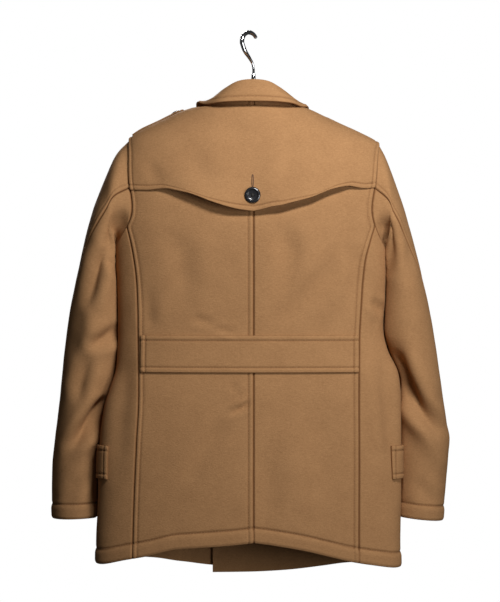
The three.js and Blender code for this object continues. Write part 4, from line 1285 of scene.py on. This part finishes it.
def make_button_form(radius):
    """A rimmed dish with four holes, in metres, on the origin."""
    deselect()
    thick = radius * BUTTON["thick"]
    bpy.ops.mesh.primitive_cylinder_add(
        vertices=64, radius=radius * BUTTON["body"], depth=thick, location=(0, 0, thick / 2)
    )
    button = bpy.context.object
    bpy.ops.object.transform_apply(location=True, rotation=True, scale=True)
    bpy.ops.object.mode_set(mode="EDIT")
    pick_top(button)
    for inward, upward in BUTTON_FACE:
        bpy.ops.mesh.inset(thickness=radius * inward, depth=radius * upward)
    bpy.ops.object.mode_set(mode="OBJECT")
    for vertex in button.data.vertices:
        if abs(vertex.co.z - thick) < TINY or vertex.co.z < TINY:
            outward = BUTTON_SPREAD["top" if vertex.co.z > TINY else "foot"]
            vertex.co.x *= outward
            vertex.co.y *= outward
    for i in range(4):
        turn = math.radians(45 + 90 * i)
        away = radius * BUTTON["hole_at"]
        deselect()
        bpy.ops.mesh.primitive_cylinder_add(
            vertices=20, radius=radius * BUTTON["hole"], depth=thick * 4,
            location=(away * math.cos(turn), away * math.sin(turn), thick),
        )
        cutter = bpy.context.object
        apply_modifier(
            button, "BOOLEAN", f"hole_{i}", operation="DIFFERENCE", solver="EXACT", object=cutter
        )
        bpy.data.objects.remove(cutter)
    apply_modifier(
        button, "BEVEL", "edges", width=radius * BUTTON["bevel"], segments=3, limit_method="ANGLE",
        angle_limit=math.radians(35),
    )
    button.data.shade_smooth()
    button.data.materials.append(horn)
    return button


def make_thread_form(radius):
    """Two crossed pairs of thread through the four holes."""
    bars = []
    for i in range(2):
        turn = math.radians(45 + 90 * i)
        for offset in (-radius * THREAD_BAR["beside"], radius * THREAD_BAR["beside"]):
            deselect()
            bpy.ops.mesh.primitive_cylinder_add(
                vertices=10, radius=radius * THREAD_BAR["radius"], depth=radius * THREAD_BAR["length"],
                location=(-math.sin(turn) * offset, math.cos(turn) * offset, radius * THREAD_BAR["z"]),
                rotation=(0, math.pi / 2, turn),
            )
            bpy.ops.object.transform_apply(location=True, rotation=True, scale=True)
            bars.append(bpy.context.object)
    deselect()
    for bar in bars:
        bar.select_set(True)
    bpy.context.view_layer.objects.active = bars[0]
    bpy.ops.object.join()
    bars[0].data.shade_smooth()
    bars[0].data.materials.append(dark_thread)
    return bars[0]


def set_button(forms, name, seat, normal, spin):
    turn = Vector(normal).to_track_quat("Z", "Y").to_matrix().to_4x4()
    place = Matrix.Translation(Vector(row(seat))) @ turn @ Matrix.Rotation(spin, 4, "Z")
    for source, suffix in zip(forms, ("", "_thread")):
        mesh = source.data.copy()
        mesh.transform(place)
        piece = add_piece(name + suffix, mesh)
        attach(piece, "root")
        if not suffix:
            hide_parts(name)


BUTTON_RADIUS = {"large": 13.5, "small": 10}
FLAP_BUTTON = {"x": 1.7, "z": 177, "lift": FLAP_LIFT + FLAP_WALL + 4.6}
FRONT_BUTTONS = {"x": 52, "heights": [62, -48, -158], "lift": 0.2}
EPAULETTE_BUTTON = {"share": 0.86, "lift": 0.3}
SPIN = {"flap": 0.2, "front": 0.3, "epaulette": 0.1}  # turns the holes, in radians


def make_buttons():
    large, small = (
        (make_button_form(radius / 1000), make_thread_form(radius / 1000))
        for radius in BUTTON_RADIUS.values()
    )
    z = np.array(float(FLAP_BUTTON["z"]))
    angle = angle_at(LEFT, FLAP_BUTTON["x"], z, -1)
    seat, normal = on_body(LEFT, angle, z, np.array(FLAP_BUTTON["lift"]))
    set_button(large, "storm_flap_button", seat, normal, SPIN["flap"])
    for column, sign in (("left", 1), ("right", -1)):
        for i, height in enumerate(FRONT_BUTTONS["heights"]):
            z = np.array(float(height))
            angle = angle_at(LEFT, sign * FRONT_BUTTONS["x"], z, 1)
            seat, normal = on_body(LEFT, angle, z, np.array(LAYER + FRONT_BUTTONS["lift"]))
            set_button(large, f"front_button_{column}_{i + 1}", seat, normal, SPIN["front"] * i)
    for side in (LEFT, RIGHT):
        seat, normal = on_epaulette(side, np.array(EPAULETTE_BUTTON["share"]), 0)
        seat = seat + normal * EPAULETTE_BUTTON["lift"]
        set_button(small, f"epaulette_button_{side['name']}", seat, normal, SPIN["epaulette"])
    for source in (*large, *small):
        bpy.data.objects.remove(source)


def make_tube(name, places, radii, closed, material):
    """A round rod along places, from a curve turned into a mesh."""
    deselect()
    bpy.ops.curve.primitive_nurbs_path_add()
    rod = bpy.context.object
    rod.name = name
    rod.data.splines.clear()
    spline = rod.data.splines.new("POLY")
    spline.points.add(len(places) - 1)
    for point, place, radius in zip(spline.points, places, radii):
        point.co = (*row(place), 1)
        point.radius = radius
    spline.use_cyclic_u = closed
    rod.data.dimensions = "3D"
    rod.data.bevel_depth = 0.001
    rod.data.bevel_resolution = 5
    rod.data.use_fill_caps = not closed
    bpy.ops.object.convert(target="MESH")
    rod = bpy.context.object
    rod.name = name
    rod.data.shade_smooth()
    rod.data.materials.clear()
    rod.data.materials.append(material)
    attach(rod, "root")
    return rod


# The buttonhole's middle, its half sizes and its cord; square makes its ends blunter than an ellipse's
BUTTONHOLE = {"x": 1.5, "z": 201, "half_x": 1.3, "half_z": 10.5, "lift": 0.3, "radius": 0.75, "square": 0.7}


def make_buttonhole():
    """The worked slit above the storm flap's button."""
    places = []
    for turn in np.linspace(0, 2 * np.pi, 40, endpoint=False):
        across = math.copysign(abs(math.cos(turn)) ** BUTTONHOLE["square"], math.cos(turn))
        x = -BUTTONHOLE["x"] + BUTTONHOLE["half_x"] * across
        z = np.array(BUTTONHOLE["z"] + BUTTONHOLE["half_z"] * math.sin(turn))
        side = LEFT if x < 0 else RIGHT
        height = flap_height(side, x, z) + BUTTONHOLE["lift"]
        places.append(on_body(side, angle_at(side, abs(x), z, -1), z, height)[0])
    make_tube("buttonhole", places, [BUTTONHOLE["radius"]] * len(places), True, brown_thread)


HOOK = {"turn": 38, "rod": 2.1, "thick_rod": 3.8}
HOOK_STEM = ((0, 391.2), (0, 399), (-2.2, 408), (-9, 417.5), (-18.5, 428.5))
HOOK_BOWL = {"radius": 16.2, "h": -8.75, "z": 445, "from": 195, "to": 25}
# Shares of the hook's length over which the rod thickens, thins again and rounds off
SWELL = {"from": 0.12, "over": 0.35, "thin": 0.45, "thin_from": 0.82, "round": 0.02}


def make_hook():
    turned = math.radians(HOOK["turn"])
    angles = np.radians(np.linspace(HOOK_BOWL["from"], HOOK_BOWL["to"], 13))
    bowl = HOOK_BOWL["radius"] * np.stack([np.cos(angles), np.sin(angles)], axis=-1)
    bowl += (HOOK_BOWL["h"], HOOK_BOWL["z"])
    control = np.array([*HOOK_STEM, *bowl])[:, None, :]
    length = run_along(control, 0)[:, 0]
    t = np.linspace(0, 1, 110)
    index = np.interp(t * length[-1], length, np.arange(len(length)))
    path = smooth_grid(control, 0, index)[:, 0]
    places = [(h * math.cos(turned), h * math.sin(turned), z) for h, z in path]
    thin = SWELL["thin"] * ramp((t - SWELL["thin_from"]) / (1 - SWELL["thin_from"]))
    swell = ramp((t - SWELL["from"]) / SWELL["over"]) * (1 - thin)
    end = np.sqrt(np.clip(1 - (1 - np.clip((1 - t) / SWELL["round"], 0, 1)) ** 2, 0.02, 1))
    radii = (HOOK["rod"] + (HOOK["thick_rod"] - HOOK["rod"]) * swell) * end
    hook = make_tube("hanger_hook_rod", places, radii, False, chrome)
    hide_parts("hanger_hook")


FERRULE = {"radius": 3.9, "top_radius": 3.12, "bottom": 380.7, "top": 390.8}
FERRULE_LIP = {"wide": 0.0005, "step": 0.0003, "bevel": 0.0004}  # in metres


def make_ferrule():
    deselect()
    height = (FERRULE["top"] - FERRULE["bottom"]) / 1000
    middle = row((0, 0, (FERRULE["top"] + FERRULE["bottom"]) / 2))
    bpy.ops.mesh.primitive_cone_add(
        vertices=48, radius1=FERRULE["radius"] / 1000, radius2=FERRULE["top_radius"] / 1000,
        depth=height, location=tuple(middle),
    )
    ferrule = bpy.context.object
    ferrule.name = "ferrule"
    bpy.ops.object.transform_apply(location=True, rotation=True, scale=True)
    bpy.ops.object.mode_set(mode="EDIT")
    pick_top(ferrule)
    bpy.ops.mesh.inset(thickness=FERRULE_LIP["wide"], depth=0)
    bpy.ops.mesh.inset(thickness=FERRULE_LIP["step"], depth=-FERRULE_LIP["step"])
    bpy.ops.object.mode_set(mode="OBJECT")
    apply_modifier(ferrule, "BEVEL", "edges", width=FERRULE_LIP["bevel"], segments=3)
    ferrule.data.shade_smooth()
    ferrule.data.materials.append(chrome)
    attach(ferrule, "root")
    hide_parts("hanger_ferrule")


make_buttons()
make_buttonhole()
make_hook()
make_ferrule()

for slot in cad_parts["hanger_body"].material_slots:
    slot.material = wood


# A pale floor far below the hanging coat, lights and camera
FLOOR = {"z": -1.95, "radius": 4, "sides": 64}
AMBIENT = 0.04  # how bright the surround is as a light
# The lens: at the photo's viewing angle, focal_pixels is its distance from the picture in pixels
CAMERA = {"place": (0.001, -3.5, -0.457), "sensor": 36, "focal_pixels": 2035, "picture_width": 500}
# Name, place, what it aims at, width and height, watts
LIGHTS = (
    ("key", (0.34, -1.0, 0.4), (0, 0, -0.4), (0.4, 0.2), 13),
    ("fill", (1.5, -2.0, -0.5), (0.1, 0, -0.4), (0.8, 1.0), 20),
    ("far_side", (-0.5, 2.8, 1.0), (0, 0, -0.3), (1.2, 0.8), 90),
    ("floor_light", (0, 0, -1.0), (0, 0.001, -1.95), (7, 7), 260),
)


def make_floor():
    bpy.ops.mesh.primitive_circle_add(
        vertices=FLOOR["sides"], radius=FLOOR["radius"], fill_type="NGON", location=(0, 0, FLOOR["z"])
    )
    floor = bpy.context.object
    floor.name = "floor"
    floor.visible_diffuse = False
    floor.visible_glossy = False
    floor.data.materials.append(make_simple("pale_paper", (0.84, 0.84, 0.84), (0.88, 0.88, 0.88), 3, 0.9))
    deselect()


def make_light(name, place, aim, size, power):
    data = bpy.data.lights.new(name, "AREA")
    data.shape = "RECTANGLE"
    data.size, data.size_y = size
    data.energy = power
    light = bpy.data.objects.new(name, data)
    light.location = place
    light.rotation_euler = (Vector(aim) - Vector(place)).to_track_quat("-Z", "Y").to_euler()
    light.visible_camera = False
    bpy.context.scene.collection.objects.link(light)


def make_world():
    """A white surround to look at, which lights the coat only faintly."""
    world = bpy.data.worlds.new("studio")
    world.use_nodes = True
    nodes, link = world.node_tree.nodes, world.node_tree.links.new
    seen = set_inputs(nodes["Background"], {"Color": (1, 1, 1, 1), "Strength": 1.0})
    ambient = set_inputs(nodes.new("ShaderNodeBackground"), {"Color": (1, 1, 1, 1), "Strength": AMBIENT})
    ray = nodes.new("ShaderNodeLightPath")
    choice = nodes.new("ShaderNodeMixShader")
    link(ray.outputs["Is Camera Ray"], choice.inputs[0])
    link(ambient.outputs[0], choice.inputs[1])
    link(seen.outputs[0], choice.inputs[2])
    link(choice.outputs[0], nodes["World Output"].inputs["Surface"])
    bpy.context.scene.world = world


def make_camera():
    data = bpy.data.cameras.new("camera")
    data.sensor_fit = "HORIZONTAL"
    data.sensor_width = CAMERA["sensor"]
    data.lens = CAMERA["sensor"] * CAMERA["focal_pixels"] / CAMERA["picture_width"]
    camera = bpy.data.objects.new("camera", data)
    camera.location = CAMERA["place"]
    camera.rotation_euler = (math.pi / 2, 0, 0)
    bpy.context.scene.collection.objects.link(camera)
    bpy.context.scene.camera = camera


make_floor()
make_world()
for light_row in LIGHTS:
    make_light(*light_row)
make_camera()
bpy.context.scene.view_settings.view_transform = "Standard"
